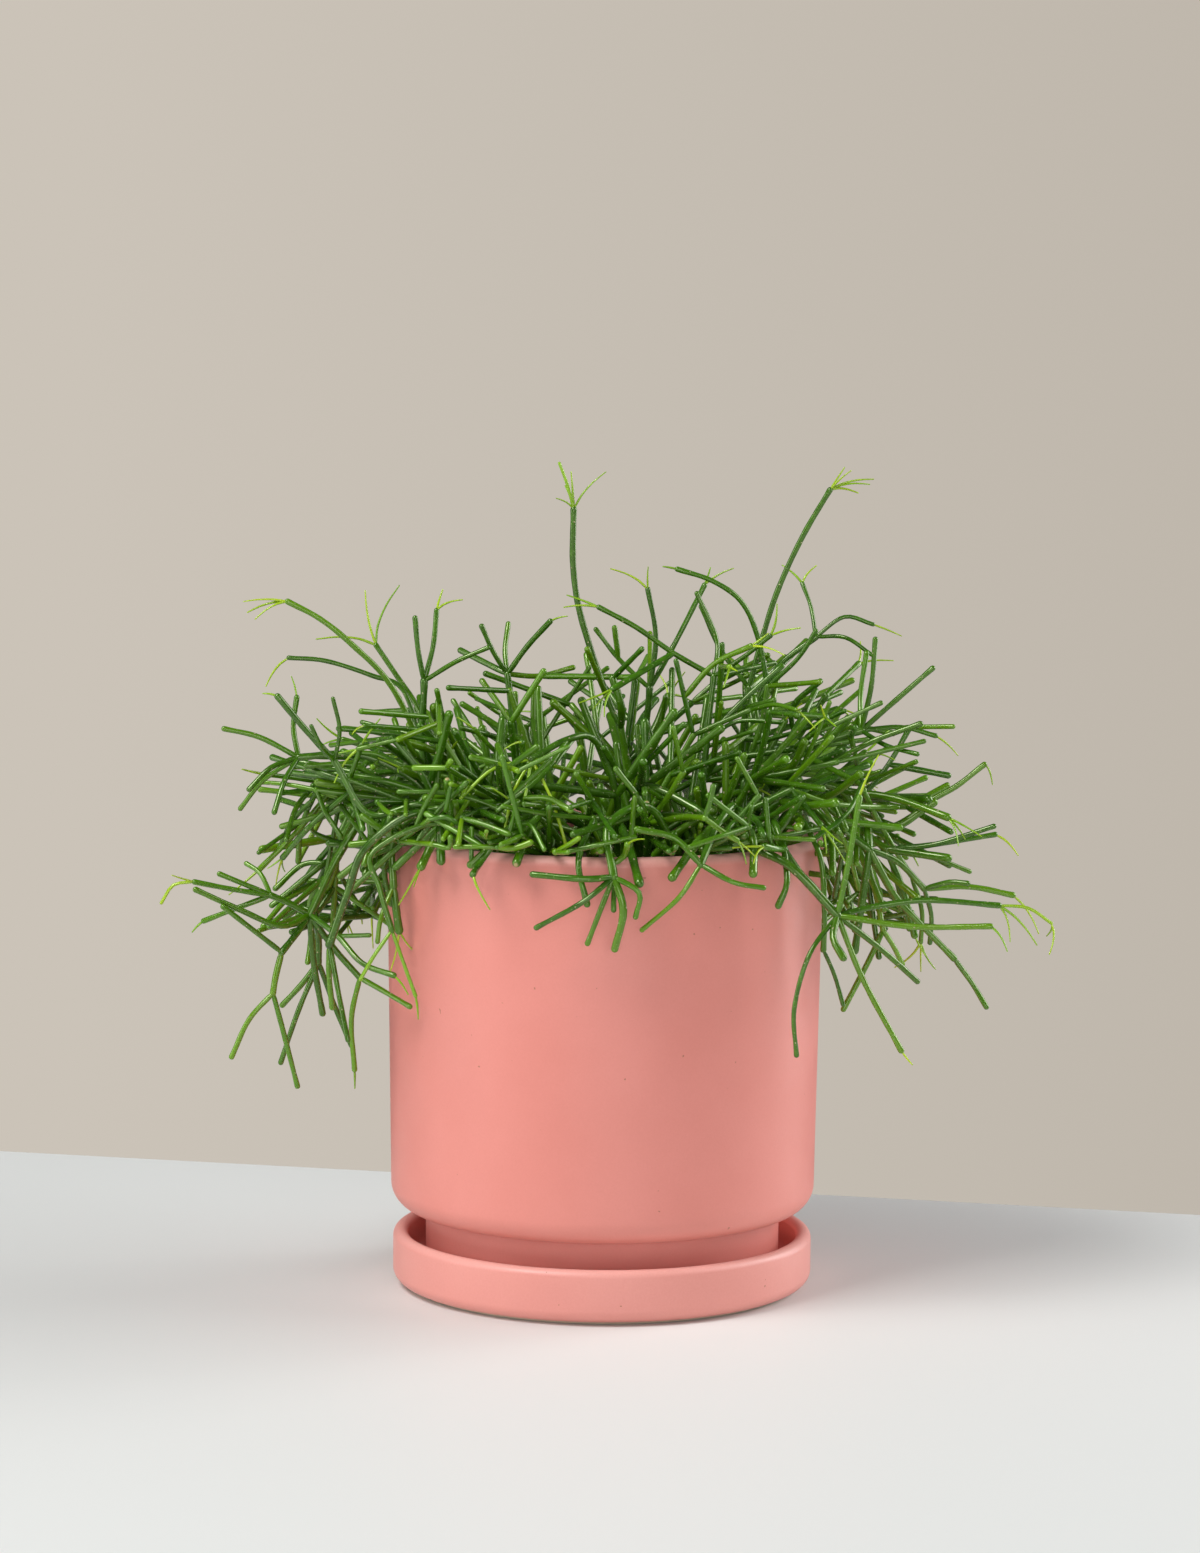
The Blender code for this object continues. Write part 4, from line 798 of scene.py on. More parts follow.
def keep_lengths(points, ends, lengths, fixed):
    """Draws each straight piece towards the length that it started with."""
    span = points[ends[:, 1]] - points[ends[:, 0]]
    now = np.linalg.norm(span, axis=1)
    fix = span * (LENGTH_KEEPING * (now - lengths) / np.maximum(now, 1e-6))[:, None]
    fix[fixed[ends[:, 0]] | fixed[ends[:, 1]]] = 0
    np.add.at(points, ends[:, 0], fix)
    np.add.at(points, ends[:, 1], -fix)


def settling_round(points, ends, radii, pairs, held):
    """Pushes the points once, but not those that are held, and returns the deepest fault there was."""
    moved, weight = np.zeros_like(points), np.zeros(len(points))
    fault = push_apart(points, ends, radii, pairs, moved, weight)
    clear_of_pot(points, ends, radii, moved, weight)
    moved /= np.maximum(weight, 1.0)[:, None]
    moved[held] = 0
    points += moved
    return fault


def settle(plant):
    """Moves the points until no stem touches another stem, the pot or the soil."""
    points = np.array(plant.points)
    fixed = np.array(plant.fixed)
    ends, radii, stems = plant.edges()
    lengths = np.linalg.norm(points[ends[:, 0]] - points[ends[:, 1]], axis=1)
    grown = [shoot for shoot in plant.shoots if shoot["stem"] not in STEMS and shoot["parent"]]
    runs = np.array([shoot["run"] for shoot in grown])
    for turn in range(SETTLE_ROUNDS):
        if turn % 6 == 0:
            pairs = near_pairs(points, ends, radii, stems)
        fault = settling_round(points, ends, radii, pairs, fixed)
        if turn < SETTLE_ROUNDS * FREE_SHARE:
            keep_lengths(points, ends, lengths, fixed)
            straighten(points, runs)
        if fault == 0.0 and turn > SETTLE_ROUNDS * FREE_SHARE:
            break
    plant.points = list(points)
    print(f"settled after {turn + 1} rounds, deepest fault {fault:.3f} mm, {len(ends)} pieces")


def grow_plant():
    """Every stem, grown and settled."""
    plant = Plant()
    rng = random.Random(SEED)
    grow_named_stems(plant)
    grow_more_stems(plant, rng)
    settle(plant)
    return plant

plant = grow_plant()
print(f"{len(plant.shoots)} shoots in {len(set(shoot['stem'] for shoot in plant.shoots))} stems")

# %% [markdown]
# ## New growth
#
# The crown of the real plant is thick with short side shoots, and its tips carry tufts of new shoots as
# thin as thread, in a fresh yellow green. They leave from the joints of the settled net. The side shoots
# are settled too, with every older point held still, so the stems stay where the CAD model has them.

# %% Add side shoots at the joints
TWIG_SEED = 21
TWIG_ROUNDS = 80
LOW_CROWN = 182.0
TWIG_REACH = 104.0
CROWN_WIDENING = 1.16  # the crown is a little wider than it is deep
LOWEST_CORNER = (-149.0, -95.0, 60.0)  # the new growth stays between these two corners
HIGHEST_CORNER = (149.0, 105.0, 286.0)
STUB_RADIUS = (1.2, 1.7)
STUB_LENGTH = (20.0, 38.0)
TWIG_RADIUS = (0.85, 1.2)
TWIG_LENGTH = (24.0, 42.0)
STUB_ANGLES = (34, 74)  # between a trunk and its stubs, in degrees
TWIG_ANGLES = (28, 64)
TWIG_PAIR_MARGIN = 2.0
OPEN_FRONT = -38.0  # in front of this the crown is thin, so that the rim shows
FULL_BACK = 12.0  # behind this the crown is thicker
JOINT_INSET = 10.0  # side shoots leave at least this far inside the crown's edge
JOINT_DEPTH_IN_FRONT = 4.0  # and no further than this below the rim
JOINT_DEPTH_BEHIND = 40.0
JOINT_RISE = 4.0
FRONT_INSET = 22.0  # the crown reaches less far to the front
TWIG_RISE_IN_FRONT = 7.0  # above the rim
TWIG_FALL_BESIDE = 36.0  # below the rim
TWIG_RISE_OVER_SOIL = 4.0
RIM_STUB_RADIUS = (1.4, 1.75)
RIM_STUB_CREST = 5.0  # how high a hanging stub passes over the rim


def side_shoot(plant, parent, joint, radius, points, kind):
    """Adds a shoot that leaves from any joint of its parent."""
    run = [joint] + [plant.add_point(point) for point in points]
    shoot = {"stem": parent["stem"], "radius": radius, "run": run, "parent": parent, "kind": kind}
    plant.shoots.append(shoot)


def named_shoots(plant):
    """The shoots that were placed by hand, by the names of their stem and of their own."""
    names = [(stem, name) for stem, shoots in STEMS.items() for name in shoots]
    return dict(zip(names, plant.shoots))


def shoots_of_kind(plant, kind):
    """All shoots of one kind: twig or thread."""
    return [shoot for shoot in plant.shoots if shoot.get("kind") == kind]


def joint_direction(plant, shoot, place):
    """The direction in which a shoot passes one of its points."""
    run = shoot["run"]
    before = plant.points[run[max(place - 1, 0)]]
    after = plant.points[run[min(place + 1, len(run) - 1)]]
    return unit(after - before)


def thick_of_crown(point):
    """Whether side shoots may leave from here: over the pot, and not from a stem that stands clear."""
    x, y, z = point
    lowest = RIM_HEIGHT - (JOINT_DEPTH_BEHIND if y > 0 else JOINT_DEPTH_IN_FRONT)
    reach = math.hypot(x / CROWN_WIDENING, y)
    return reach < TWIG_REACH - JOINT_INSET and lowest < z < crown_height(point) + JOINT_RISE


def keep_twig_in_crown(point, start):
    """The end of a side shoot, moved inside the crown, and over the rim where it leaves towards the front."""
    x, y, z = point
    reach = math.hypot(x / CROWN_WIDENING, y)
    limit = TWIG_REACH if y > -30 else TWIG_REACH - FRONT_INSET
    if reach > limit:
        x, y = x * limit / reach, y * limit / reach
    over_front = y < -30 and abs(x) < RIM_RADIUS
    lowest = RIM_HEIGHT + (TWIG_RISE_IN_FRONT if over_front else -TWIG_FALL_BESIDE)
    if math.hypot(x, y) < RIM_RADIUS - WALL:
        lowest = soil_height(reach) + TWIG_RISE_OVER_SOIL
    top = max(crown_height(point), start[2])
    if z > top:
        z = top + CROWN_GIVE * (z - top)
    return np.clip((x, y, max(z, lowest)), LOWEST_CORNER, HIGHEST_CORNER)


def add_twigs_at(plant, shoot, place, count, radii, lengths, angles, rng):
    """Adds side shoots that spread from one joint."""
    joint = shoot["run"][place]
    start = plant.points[joint]
    direction = joint_direction(plant, shoot, place)
    roll = rng.uniform(0, 2 * math.pi)
    for index in range(count):
        angle = math.radians(rng.uniform(*angles))
        heading = turned_direction(direction, angle, roll + 2 * math.pi * index / count)
        heading = unit(heading + outward(start) * 0.2 + np.array([0, 0, rng.uniform(-0.1, 0.35)]))
        length = rng.uniform(*lengths)
        bend = [rng.uniform(-0.2, 0.2), rng.uniform(-0.2, 0.2), rng.uniform(-0.5, 0.05)]
        later = unit(heading + np.array(bend))
        middle = keep_twig_in_crown(start + heading * length * 0.5, start)
        end = keep_twig_in_crown(middle + later * length * 0.5, start)
        side_shoot(plant, shoot, joint, rng.uniform(*radii), [middle, end], "twig")


def grow_twigs(plant, rng):
    """Stubs from the feet of the trunks, and side shoots from the joints higher up."""
    for shoot in list(plant.shoots):
        is_trunk = shoot["parent"] is None
        if is_trunk:
            in_front = plant.points[shoot["run"][0]][1] < -34
            stubs = 1 if in_front else 2
            add_twigs_at(plant, shoot, 1, stubs, STUB_RADIUS, STUB_LENGTH, STUB_ANGLES, rng)
        for place in range(2 if is_trunk else 1, len(shoot["run"])):
            start = plant.points[shoot["run"][place]]
            if not thick_of_crown(start):
                continue
            low = start[2] < LOW_CROWN
            count = rng.choice((1, 2, 2, 2) if low else (0, 1, 1, 1))
            if start[1] < OPEN_FRONT:
                count = min(count, rng.choice((0, 0, 1)))
            if low and start[1] > FULL_BACK:
                count += 1
            radii = STUB_RADIUS if low and is_trunk else TWIG_RADIUS
            add_twigs_at(plant, shoot, place, count, radii, TWIG_LENGTH, TWIG_ANGLES, rng)


# Thick stubs that hang over the front of the rim: the shoot that each leaves, and where it ends
RIM_STUBS = {
    ("front_left_stem", "trunk"): [(-45, -72, 156), (-33, -80, 158)],
    ("left_front_stem", "trunk"): [(-62, -54, 153), (-55, -62, 156), (-69, -36, 152)],
    ("left_shelf_stem", "trunk"): [(-76, -30, 150)],
    ("front_centre_stem", "trunk"): [(10, -84, 149)],
    ("front_right_stem", "trunk"): [(22, -84, 154), (49, -73, 154)],
    ("front_right_short_stem", "trunk"): [(66, -56, 151)],
}


def add_rim_stubs(plant, rng):
    """Adds each hanging stub as a curve that rises over the rim before it drops."""
    named = named_shoots(plant)
    for name, ends in RIM_STUBS.items():
        joint = named[name]["run"][2]
        for end in ends:
            crest = (plant.points[joint] + end) / 2
            crest = (outward(crest) * (RIM_RADIUS + 1) + crest) / 2
            crest[2] = RIM_HEIGHT + RIM_STUB_CREST
            side_shoot(plant, named[name], joint, rng.uniform(*RIM_STUB_RADIUS), [crest, end], "twig")


def family_pairs(points, ends, radii, groups, parents):
    """Pairs of straight pieces that are close, of shoots that don't grow from one another."""
    first, second = near_pairs(points, ends, radii + TWIG_PAIR_MARGIN - PAIR_MARGIN, groups)
    kin = (parents[first] == groups[second]) | (groups[first] == parents[second])
    kin |= parents[first] == parents[second]
    return first[~kin], second[~kin]


def straight_pieces(plant):
    """The ends, the radius, the shoot and the shoot's parent of every straight piece."""
    index_of = {id(shoot): index for index, shoot in enumerate(plant.shoots)}
    rows = []
    for index, shoot in enumerate(plant.shoots):
        parent = index_of.get(id(shoot["parent"]), -1 - index)
        pieces = zip(shoot["run"], shoot["run"][1:])
        rows += [(start, end, shoot["radius"], index, parent) for start, end in pieces]
    ends = np.array([row[:2] for row in rows])
    return ends, *(np.array([row[column] for row in rows]) for column in (2, 3, 4))


def settle_twigs(plant, old_count):
    """Moves only the new points, until the side shoots clear everything else."""
    points = np.array(plant.points)
    ends, radii, groups, parents = straight_pieces(plant)
    runs = np.array([shoot["run"] for shoot in shoots_of_kind(plant, "twig")])
    for turn in range(TWIG_ROUNDS):
        if turn % 8 == 0:
            pairs = family_pairs(points, ends, radii, groups, parents)
        fault = settling_round(points, ends, radii, pairs, slice(0, old_count))
        if turn < TWIG_ROUNDS / 2:
            straighten(points, runs)
    plant.points = list(points)
    print(f"side shoots settled, deepest fault {fault:.2f} mm")


settled_points = len(plant.points)
add_rim_stubs(plant, random.Random(TWIG_SEED))
grow_twigs(plant, random.Random(TWIG_SEED))
settle_twigs(plant, settled_points)
print(f"{len(shoots_of_kind(plant, 'twig'))} side shoots added")

# %% [markdown]
# Threads are the youngest shoots: a few from one tip, spread like the ribs of an umbrella and bending
# over as they lengthen. Those that stand clear of the crown are placed one by one, by the point where
# each ends. The other tips get theirs by chance.

# %% Add tufts of new shoots at the tips
THREADS = {
    ("tall_stem_middle", "mast"): [(-13, -2, 284), (-1, 0, 284), (-18, -6, 275), (-15, 3, 279)],
    ("tall_stem_right", "mast"): [(82, 9, 286), (84, 5, 285), (92, 8, 282), (91, 13, 280), (87, 12, 277)],
    ("left_arching_stem", "arch"): [(-125, -14, 239), (-124, -10, 235), (-121, -15, 233)],
    ("left_arching_stem", "low_arch"): [(-119, 8, 208)],
    ("left_arching_stem", "upright"): [(-85, 18, 241), (-73, 18, 243), (-102, 16, 224)],
    ("left_tufted_stem", "out"): [(-116, -44, 210)],
    ("left_shelf_stem", "up"): [(-108, -22, 214)],
    ("left_upright_stem", "tip_b"): [(-57, -4, 243), (-50, -10, 240)],
    ("left_forked_stem", "tip_c"): [(-14, 14, 233)],
    ("trailing_stem_left", "fan_a"): [(-146, -52, 149)],
    ("trailing_stem_left", "inner_end"): [(-86, -20, 71)],
    ("trailing_stem_left", "across"): [(-66, -58, 110)],
    ("trailing_stem_left", "fan_c"): [(-141, -33, 127)],
    ("left_hanging_stem", "end"): [(-62, -72, 104)],
    ("front_left_stem", "end_a"): [(-38, -86, 143)],
    ("middle_arching_stem", "arch"): [(-15, -14, 238), (-14, -11, 242)],
    ("middle_upright_stem", "tip_a"): [(1, 9, 250), (14, 5, 251)],
    ("middle_upright_stem", "tip_b"): [(36, 20, 250), (44, 18, 250)],
    ("middle_right_stem", "arch"): [(19, -9, 252)],
    ("middle_arching_stem", "side"): [(58, -18, 240), (66, -20, 232)],
    ("right_arching_stem", "arch_a"): [(104, 28, 226)],
    ("right_arching_stem", "arch_c"): [(62, 40, 250), (74, 38, 250)],
    ("right_upright_stem", "out_b"): [(122, -4, 187)],
    ("right_low_stem", "out"): [(135, 5, 176)],
    ("right_shelf_stem", "out_b"): [(143, -10, 153)],
    ("trailing_stem_right", "out_a"): [(136, -60, 130), (145, -60, 129)],
    ("trailing_stem_right", "out_b"): [(133, -82, 130)],
    ("right_fanned_stem", "fan_b"): [(149, -26, 128)],
    ("trailing_stem_right", "down"): [(103, -72, 90)],
    ("trailing_stem_right", "up"): [(90, -74, 194)],
}
THREAD_LENGTH = (7.0, 15.0)
THREAD_RADIUS = (0.38, 0.52)
THREAD_ANGLES = (15, 48)
CHANCE_OF_TUFT = 0.08


def add_thread(plant, shoot, end, rng):
    """A thread from the tip of a shoot to its end, which leaves along the shoot and bends over."""
    joint = shoot["run"][-1]
    start = plant.points[joint]
    span = np.linalg.norm(end - start)
    early = start + joint_direction(plant, shoot, len(shoot["run"]) - 1) * span * 0.45
    bend = (early + (start + end) / 2) / 2
    points = [(1 - t) ** 2 * start + 2 * t * (1 - t) * bend + t**2 * end for t in (0.35, 0.7)]
    side_shoot(plant, shoot, joint, rng.uniform(*THREAD_RADIUS), [*points, end], "thread")


def add_tuft(plant, shoot, rng):
    """One to three threads that spread from a tip, and stay between the two corners."""
    start = plant.points[shoot["run"][-1]]
    direction = joint_direction(plant, shoot, len(shoot["run"]) - 1)
    count = rng.choice((1, 2, 2, 3))
    roll = rng.uniform(0, 2 * math.pi)
    for index in range(count):
        angle = math.radians(rng.uniform(*THREAD_ANGLES))
        heading = turned_direction(direction, angle, roll + 2 * math.pi * index / count)
        heading = unit(heading - np.array([0, 0, rng.uniform(0.0, 0.6)]))
        end = start + heading * rng.uniform(*THREAD_LENGTH)
        add_thread(plant, shoot, np.clip(end, LOWEST_CORNER, HIGHEST_CORNER), rng)


def grow_threads(plant, rng):
    """The threads that are placed one by one, and tufts by chance on the other tips."""
    named = named_shoots(plant)
    for name, ends in THREADS.items():
        for end in ends:
            add_thread(plant, named[name], np.array(end, float), rng)
    has_child = {id(shoot["parent"]) for shoot in plant.shoots if shoot["parent"]}
    for shoot in list(plant.shoots):
        if id(shoot) in has_child or shoot.get("kind") == "thread" or rng.random() > CHANCE_OF_TUFT:
            continue
        add_tuft(plant, shoot, rng)


grow_threads(plant, random.Random(TWIG_SEED + 1))
print(f"{len(shoots_of_kind(plant, 'thread'))} threads added")

# %% [markdown]
# ## From a net to centre lines
#
# A shoot is never a straight bar. Its points are joined by a smooth curve, and the thickness along it is
# what makes it read as this plant: pinched where it leaves its parent, even along its length, and blunt
# and round at its tip. Each sample also carries how old the shoot is, a tint of its own, and how corky
# its tip is, for the finish.

# %% Draw each shoot as a smooth centre line
SAMPLE_STEP = 2.0
PINCH = 0.66  # the share of its thickness that a shoot has where it leaves its parent
PINCH_LENGTH = 2.6
TIP_SWELLING = 0.10  # a shoot is a little thicker over its last few millimetres
TIP_LENGTH = 5.0
CAP_ANGLES = np.radians([25, 50, 70, 84])  # the rounded end of a tip, from its side to its pole
AGE_OF_KIND = {"stem": 0.10, "twig": 0.26, "thread": 0.84}
AGE_BY_FORK = 0.11
THIN_STEM = 0.75  # a stem's shoot below this radius is new, and as pale as a thread
CHANCE_OF_CORK = 0.12
LINE_SEED = 5


def smooth_line(points, step):
    """Samples of a smooth curve through these points, about one step apart."""
    points = np.array(points)
    slopes = np.gradient(points, axis=0)
    samples = []
    for index in range(len(points) - 1):
        p, q, m, n = points[index], points[index + 1], slopes[index], slopes[index + 1]
        count = max(2, int(np.linalg.norm(q - p) / step))
        for t in np.arange(count) / count:
            curve = (2 * t**3 - 3 * t**2 + 1) * p + (t**3 - 2 * t**2 + t) * m
            samples.append(curve + (3 * t**2 - 2 * t**3) * q + (t**3 - t**2) * n)
    samples.append(points[-1])
    return np.array(samples)


def shoot_generation(shoot):
    """How many forks lie between a shoot and the soil."""
    count = 0
    while shoot["parent"] is not None:
        shoot = shoot["parent"]
        count += 1
    return count


def thickness_along(shoot, kind, along, rng):
    """How thick a shoot is at each of its samples, from base to tip."""
    share = along / along[-1]
    thickness = 1.05 - 0.6 * share
    if kind != "thread":
        swelling = TIP_SWELLING * np.clip((along - along[-1] + TIP_LENGTH) / TIP_LENGTH, 0, 1)
        thickness = 0.95 - 0.08 * share + swelling
    if shoot["parent"] is not None:
        thickness *= PINCH + (1 - PINCH) * np.clip(along / PINCH_LENGTH, 0, 1) ** 0.7
    wave = rng.uniform(0, 2 * math.pi)
    slow_ripple = 0.035 * np.sin(along / rng.uniform(2.6, 4.2) + wave)
    quick_ripple = 0.03 * np.sin(along / 1.3 + 2 * wave)
    return shoot["radius"] * thickness * (1 + slow_ripple + quick_ripple)


def centre_line(plant, shoot, rng):
    """The samples of one shoot, with thickness, age, tint and cork for each, from base to tip."""
    kind = shoot.get("kind", "stem")
    line = smooth_line([plant.points[index] for index in shoot["run"]], SAMPLE_STEP)
    along = np.concatenate([[0], np.cumsum(np.linalg.norm(np.diff(line, axis=0), axis=1))])
    thickness = thickness_along(shoot, kind, along, rng)
    tip = thickness[-1]
    poles = np.outer(np.sin(CAP_ANGLES) * tip, unit(line[-1] - line[-2]))
    line = np.concatenate([line, line[-1] + poles])
    thickness = np.concatenate([thickness, tip * np.cos(CAP_ANGLES)])
    share = np.concatenate([along / along[-1], np.ones(len(CAP_ANGLES))])
    age = AGE_OF_KIND[kind] + 0.08 * share
    if kind == "stem":
        age += AGE_BY_FORK * min(shoot_generation(shoot), 3)
        age += 0.6 * (shoot["radius"] < THIN_STEM)
    age = np.clip(age + rng.uniform(-0.12, 0.2), 0, 1)
    cork = np.zeros(len(line))
    if kind == "twig" and shoot["radius"] > STUB_RADIUS[0] and rng.random() < CHANCE_OF_CORK:
        cork[-2:] = 1.0
    return line, thickness, age, np.full(len(line), rng.random()), cork


def wire_of_stem(plant, name, rng):
    """One mesh of loose centre lines for a stem, with its samples' values as attributes."""
    lines = [centre_line(plant, shoot, rng) for shoot in plant.shoots if shoot["stem"] == name]
    points = np.concatenate([line[0] for line in lines]) * MM
    values = {
        key: np.concatenate([line[column] for line in lines])
        for column, key in enumerate(("thickness", "age", "tint", "cork"), start=1)
    }
    values["thickness"] = values["thickness"] * MM
    edges, start = [], 0
    for line in lines:
        count = len(line[0])
        edges += [(start + index, start + index + 1) for index in range(count - 1)]
        start += count
    mesh = bpy.data.meshes.new(name + "_wire")
    mesh.from_pydata(points.tolist(), edges, [])
    for key, value in values.items():
        attribute = mesh.attributes.new(key, "FLOAT", "POINT")
        attribute.data.foreach_set("value", value.astype(np.float32))
    return mesh


sample_line = smooth_line([(0, 0, 0), (0, 5, 20), (0, 15, 30)], SAMPLE_STEP)
print(f"a shoot of three points becomes {len(sample_line)} samples")

# %% [markdown]
# ## The finish of the stems
#
# The skin is waxy: evenly green on the older stems and yellow green on new shoots. The oldest stems are
# darkest. That is partly their own colour and partly painted shade for the depths of the crown where they
# stand. A tint of each shoot's own turns some a little blue. Fine pale flecks break it up. The tips that
# have stopped growing end in a dry, tan scar. All of it comes from attributes that the centre lines carry,
# so a colour follows its own shoot.

# %% Patterns for materials
def attribute_value(tree, name):
    """A value that the mesh carries at each point."""
    return add_node(tree, "ShaderNodeAttribute", attribute_name=name).outputs["Fac"]


def noise_value(tree, coordinates, scale, detail=3.0, roughness=0.5):
    """Cloudy noise from 0 to 1, with this many clouds to the metre."""
    sockets = {"Vector": coordinates, "Scale": scale, "Detail": detail, "Roughness": roughness}
    return add_node(tree, "ShaderNodeTexNoise", sockets).outputs["Fac"]


def object_coordinates(tree):
    """Places in metres, which turn and move with the piece."""
    return add_node(tree, "ShaderNodeTexCoord").outputs["Object"]


def ramp(tree, value, stops):
    """A colour ramp over a value, from (position, colour) stops: the two ends first."""
    node = add_node(tree, "ShaderNodeValToRGB", {"Fac": value})
    elements = node.color_ramp.elements
    for element, (position, colour) in zip(elements, stops):
        element.position = position
        element.color = colour
    for position, colour in stops[2:]:
        elements.new(position).color = colour
    return node.outputs["Color"]


def add_bump(tree, shader, height, strength, distance):
    """Fine relief on a shader, this many metres high."""
    sockets = {"Height": height, "Strength": strength, "Distance": distance}
    bump = add_node(tree, "ShaderNodeBump", sockets)
    tree.links.new(bump.outputs["Normal"], shader.inputs["Normal"])


print("material patterns are ready")

# %% Make the stem skin and the cork of the areoles
# Colour by age. The oldest stems' dark green is partly painted shade for the depths of the crown, where they
# stand.
SKIN_BY_AGE_AND_PAINTED_SHADE = [
    (0.0, (0.015, 0.062, 0.001, 1)),
    (1.0, (0.340, 0.520, 0.010, 1)),
    (0.32, (0.038, 0.128, 0.001, 1)),
    (0.62, (0.140, 0.310, 0.003, 1)),
]
SKIN_TINTS = [(0.0, (0.66, 0.86, 1.4, 1)), (1.0, (1.45, 1.20, 0.8, 1))]  # bluish to yellowish
SKIN_GREEN = (0.03, 0.11, 0.004, 1)
MOTTLE = (0.12, 0.32, 0.012, 1)
PALE_FLECK = (0.42, 0.56, 0.24, 1)
DRY_TIP = (0.42, 0.30, 0.14, 1)
WAXY_SHINE = (0.88, 1.0, 0.62, 1)
CORK = (0.34, 0.30, 0.15, 1)
CORK_DARK = (0.20, 0.22, 0.08, 1)
CORK_PALE = (0.52, 0.46, 0.28, 1)


def stem_skin_material():
    """Waxy green skin: its colour by age, the oldest darkest partly as painted shade in the depths of the
    crown, and by a tint of each shoot's own, mottled, with pale flecks.
    """
    material, shader, tree = new_material("stem_skin_waxy", SKIN_GREEN, 0.2)
    place = object_coordinates(tree)
    colour = ramp(tree, attribute_value(tree, "age"), SKIN_BY_AGE_AND_PAINTED_SHADE)
    tint = ramp(tree, attribute_value(tree, "tint"), SKIN_TINTS)
    colour = mix_colours(tree, 0.85, colour, tint, "MULTIPLY")
    mottle = map_range(tree, noise_value(tree, place, 300.0), 0.35, 0.7)
    colour = mix_colours(tree, mottle, colour, mix_colours(tree, 0.25, colour, MOTTLE))
    flecks = map_range(tree, noise_value(tree, place, 1500.0, 1.0), 0.66, 0.74)
    colour = mix_colours(tree, flecks, colour, mix_colours(tree, 0.35, colour, PALE_FLECK))
    colour = mix_colours(tree, attribute_value(tree, "cork"), colour, DRY_TIP)
    tree.links.new(colour, shader.inputs["Base Color"])
    shader.inputs["Specular IOR Level"].default_value = 0.9
    shader.inputs["Specular Tint"].default_value = WAXY_SHINE
    add_bump(tree, shader, noise_value(tree, place, 700.0, 2.0), 0.15, 0.00012)
    return material


def areole_material():
    """Dry felt in two shades of tan."""
    material, shader, tree = new_material("areole_cork", CORK, 0.85)
    spots = map_range(tree, noise_value(tree, object_coordinates(tree), 2600.0, 2.0), 0.4, 0.65)
    tree.links.new(mix_colours(tree, spots, CORK_DARK, CORK_PALE), shader.inputs["Base Color"])
    return material


skin = stem_skin_material()
areole_cork = areole_material()
print(f"materials {skin.name} and {areole_cork.name}")

# %% [markdown]
# ## Stems by Geometry Nodes
#
# Every stem is the same job: sweep a round section along a centre line, and set a spiral of small felted
# dots, the areoles, along it. A node tree does both from the wire meshes, so the number of sides and the
# areoles' spacing and turn are inputs that anyone can turn, and one tree serves all the stems.

# %% Helpers for Geometry Nodes
def new_tree(name, inputs, output):
    """An empty tree with these named inputs, each a name, a kind and a value, and one output of geometry."""
    tree = bpy.data.node_groups.new(name, "GeometryNodeTree")
    for label, kind, value in inputs:
        socket = tree.interface.new_socket(label, in_out="INPUT", socket_type="NodeSocket" + kind)
        if value is not None:
            socket.default_value = value
    tree.interface.new_socket(output, in_out="OUTPUT", socket_type="NodeSocketGeometry")
    return tree, add_node(tree, "NodeGroupInput").outputs


def with_material(tree, geometry, material):
    """Geometry with this material on all its faces."""
    sockets = {"Geometry": geometry, "Material": material}
    return add_node(tree, "GeometryNodeSetMaterial", sockets).outputs["Geometry"]


def compare(tree, first, second, operation):
    """Whether a value is less or greater than another."""
    settings = {"data_type": "FLOAT", "operation": operation}
    return add_node(tree, "FunctionNodeCompare", {0: first, 1: second}, **settings).outputs["Result"]


def plain_piece(name, worker):
    """The shape that a worker's modifier makes, as a plain object. The worker and its mesh go."""
    graph = bpy.context.evaluated_depsgraph_get()
    made = bpy.data.meshes.new_from_object(worker.evaluated_get(graph), depsgraph=graph)
    start = worker.data
    bpy.data.objects.remove(worker)
    bpy.data.meshes.remove(start)
    made.name = name
    piece = bpy.data.objects.new(name, made)
    bpy.context.scene.collection.objects.link(piece)
    return piece


def new_worker(name, mesh):
    """An object that holds a mesh while a modifier works on it."""
    worker = bpy.data.objects.new(name + "_worker", mesh)
    bpy.context.scene.collection.objects.link(worker)
    return worker


def run_tree(name, mesh, tree, values):
    """Runs a node tree on a mesh and returns the result as a plain object with no modifier."""
    worker = new_worker(name, mesh)
    modifier = worker.modifiers.new("Nodes", "NODES")
    modifier.node_group = tree
    for item in tree.interface.items_tree:
        if item.item_type == "SOCKET" and item.in_out == "INPUT" and item.name in values:
            modifier[item.identifier] = values[item.name]
    return plain_piece(name, worker)


print("Geometry Nodes helpers are ready")

# %% Build the tree that turns wires into stems
AREOLE_SPACING = 0.0052
AREOLE_TURN = math.pi * (3 - math.sqrt(5))  # the golden angle, by which each areole is set on from the last
AREOLE_DEPTH = (0.92, 0, 0)  # how far from the centre line, as a share of the stem's thickness
AREOLE_SIZE = (0.16, 0.26, 0.36)
THINNEST_WITH_AREOLES = 0.7 * MM


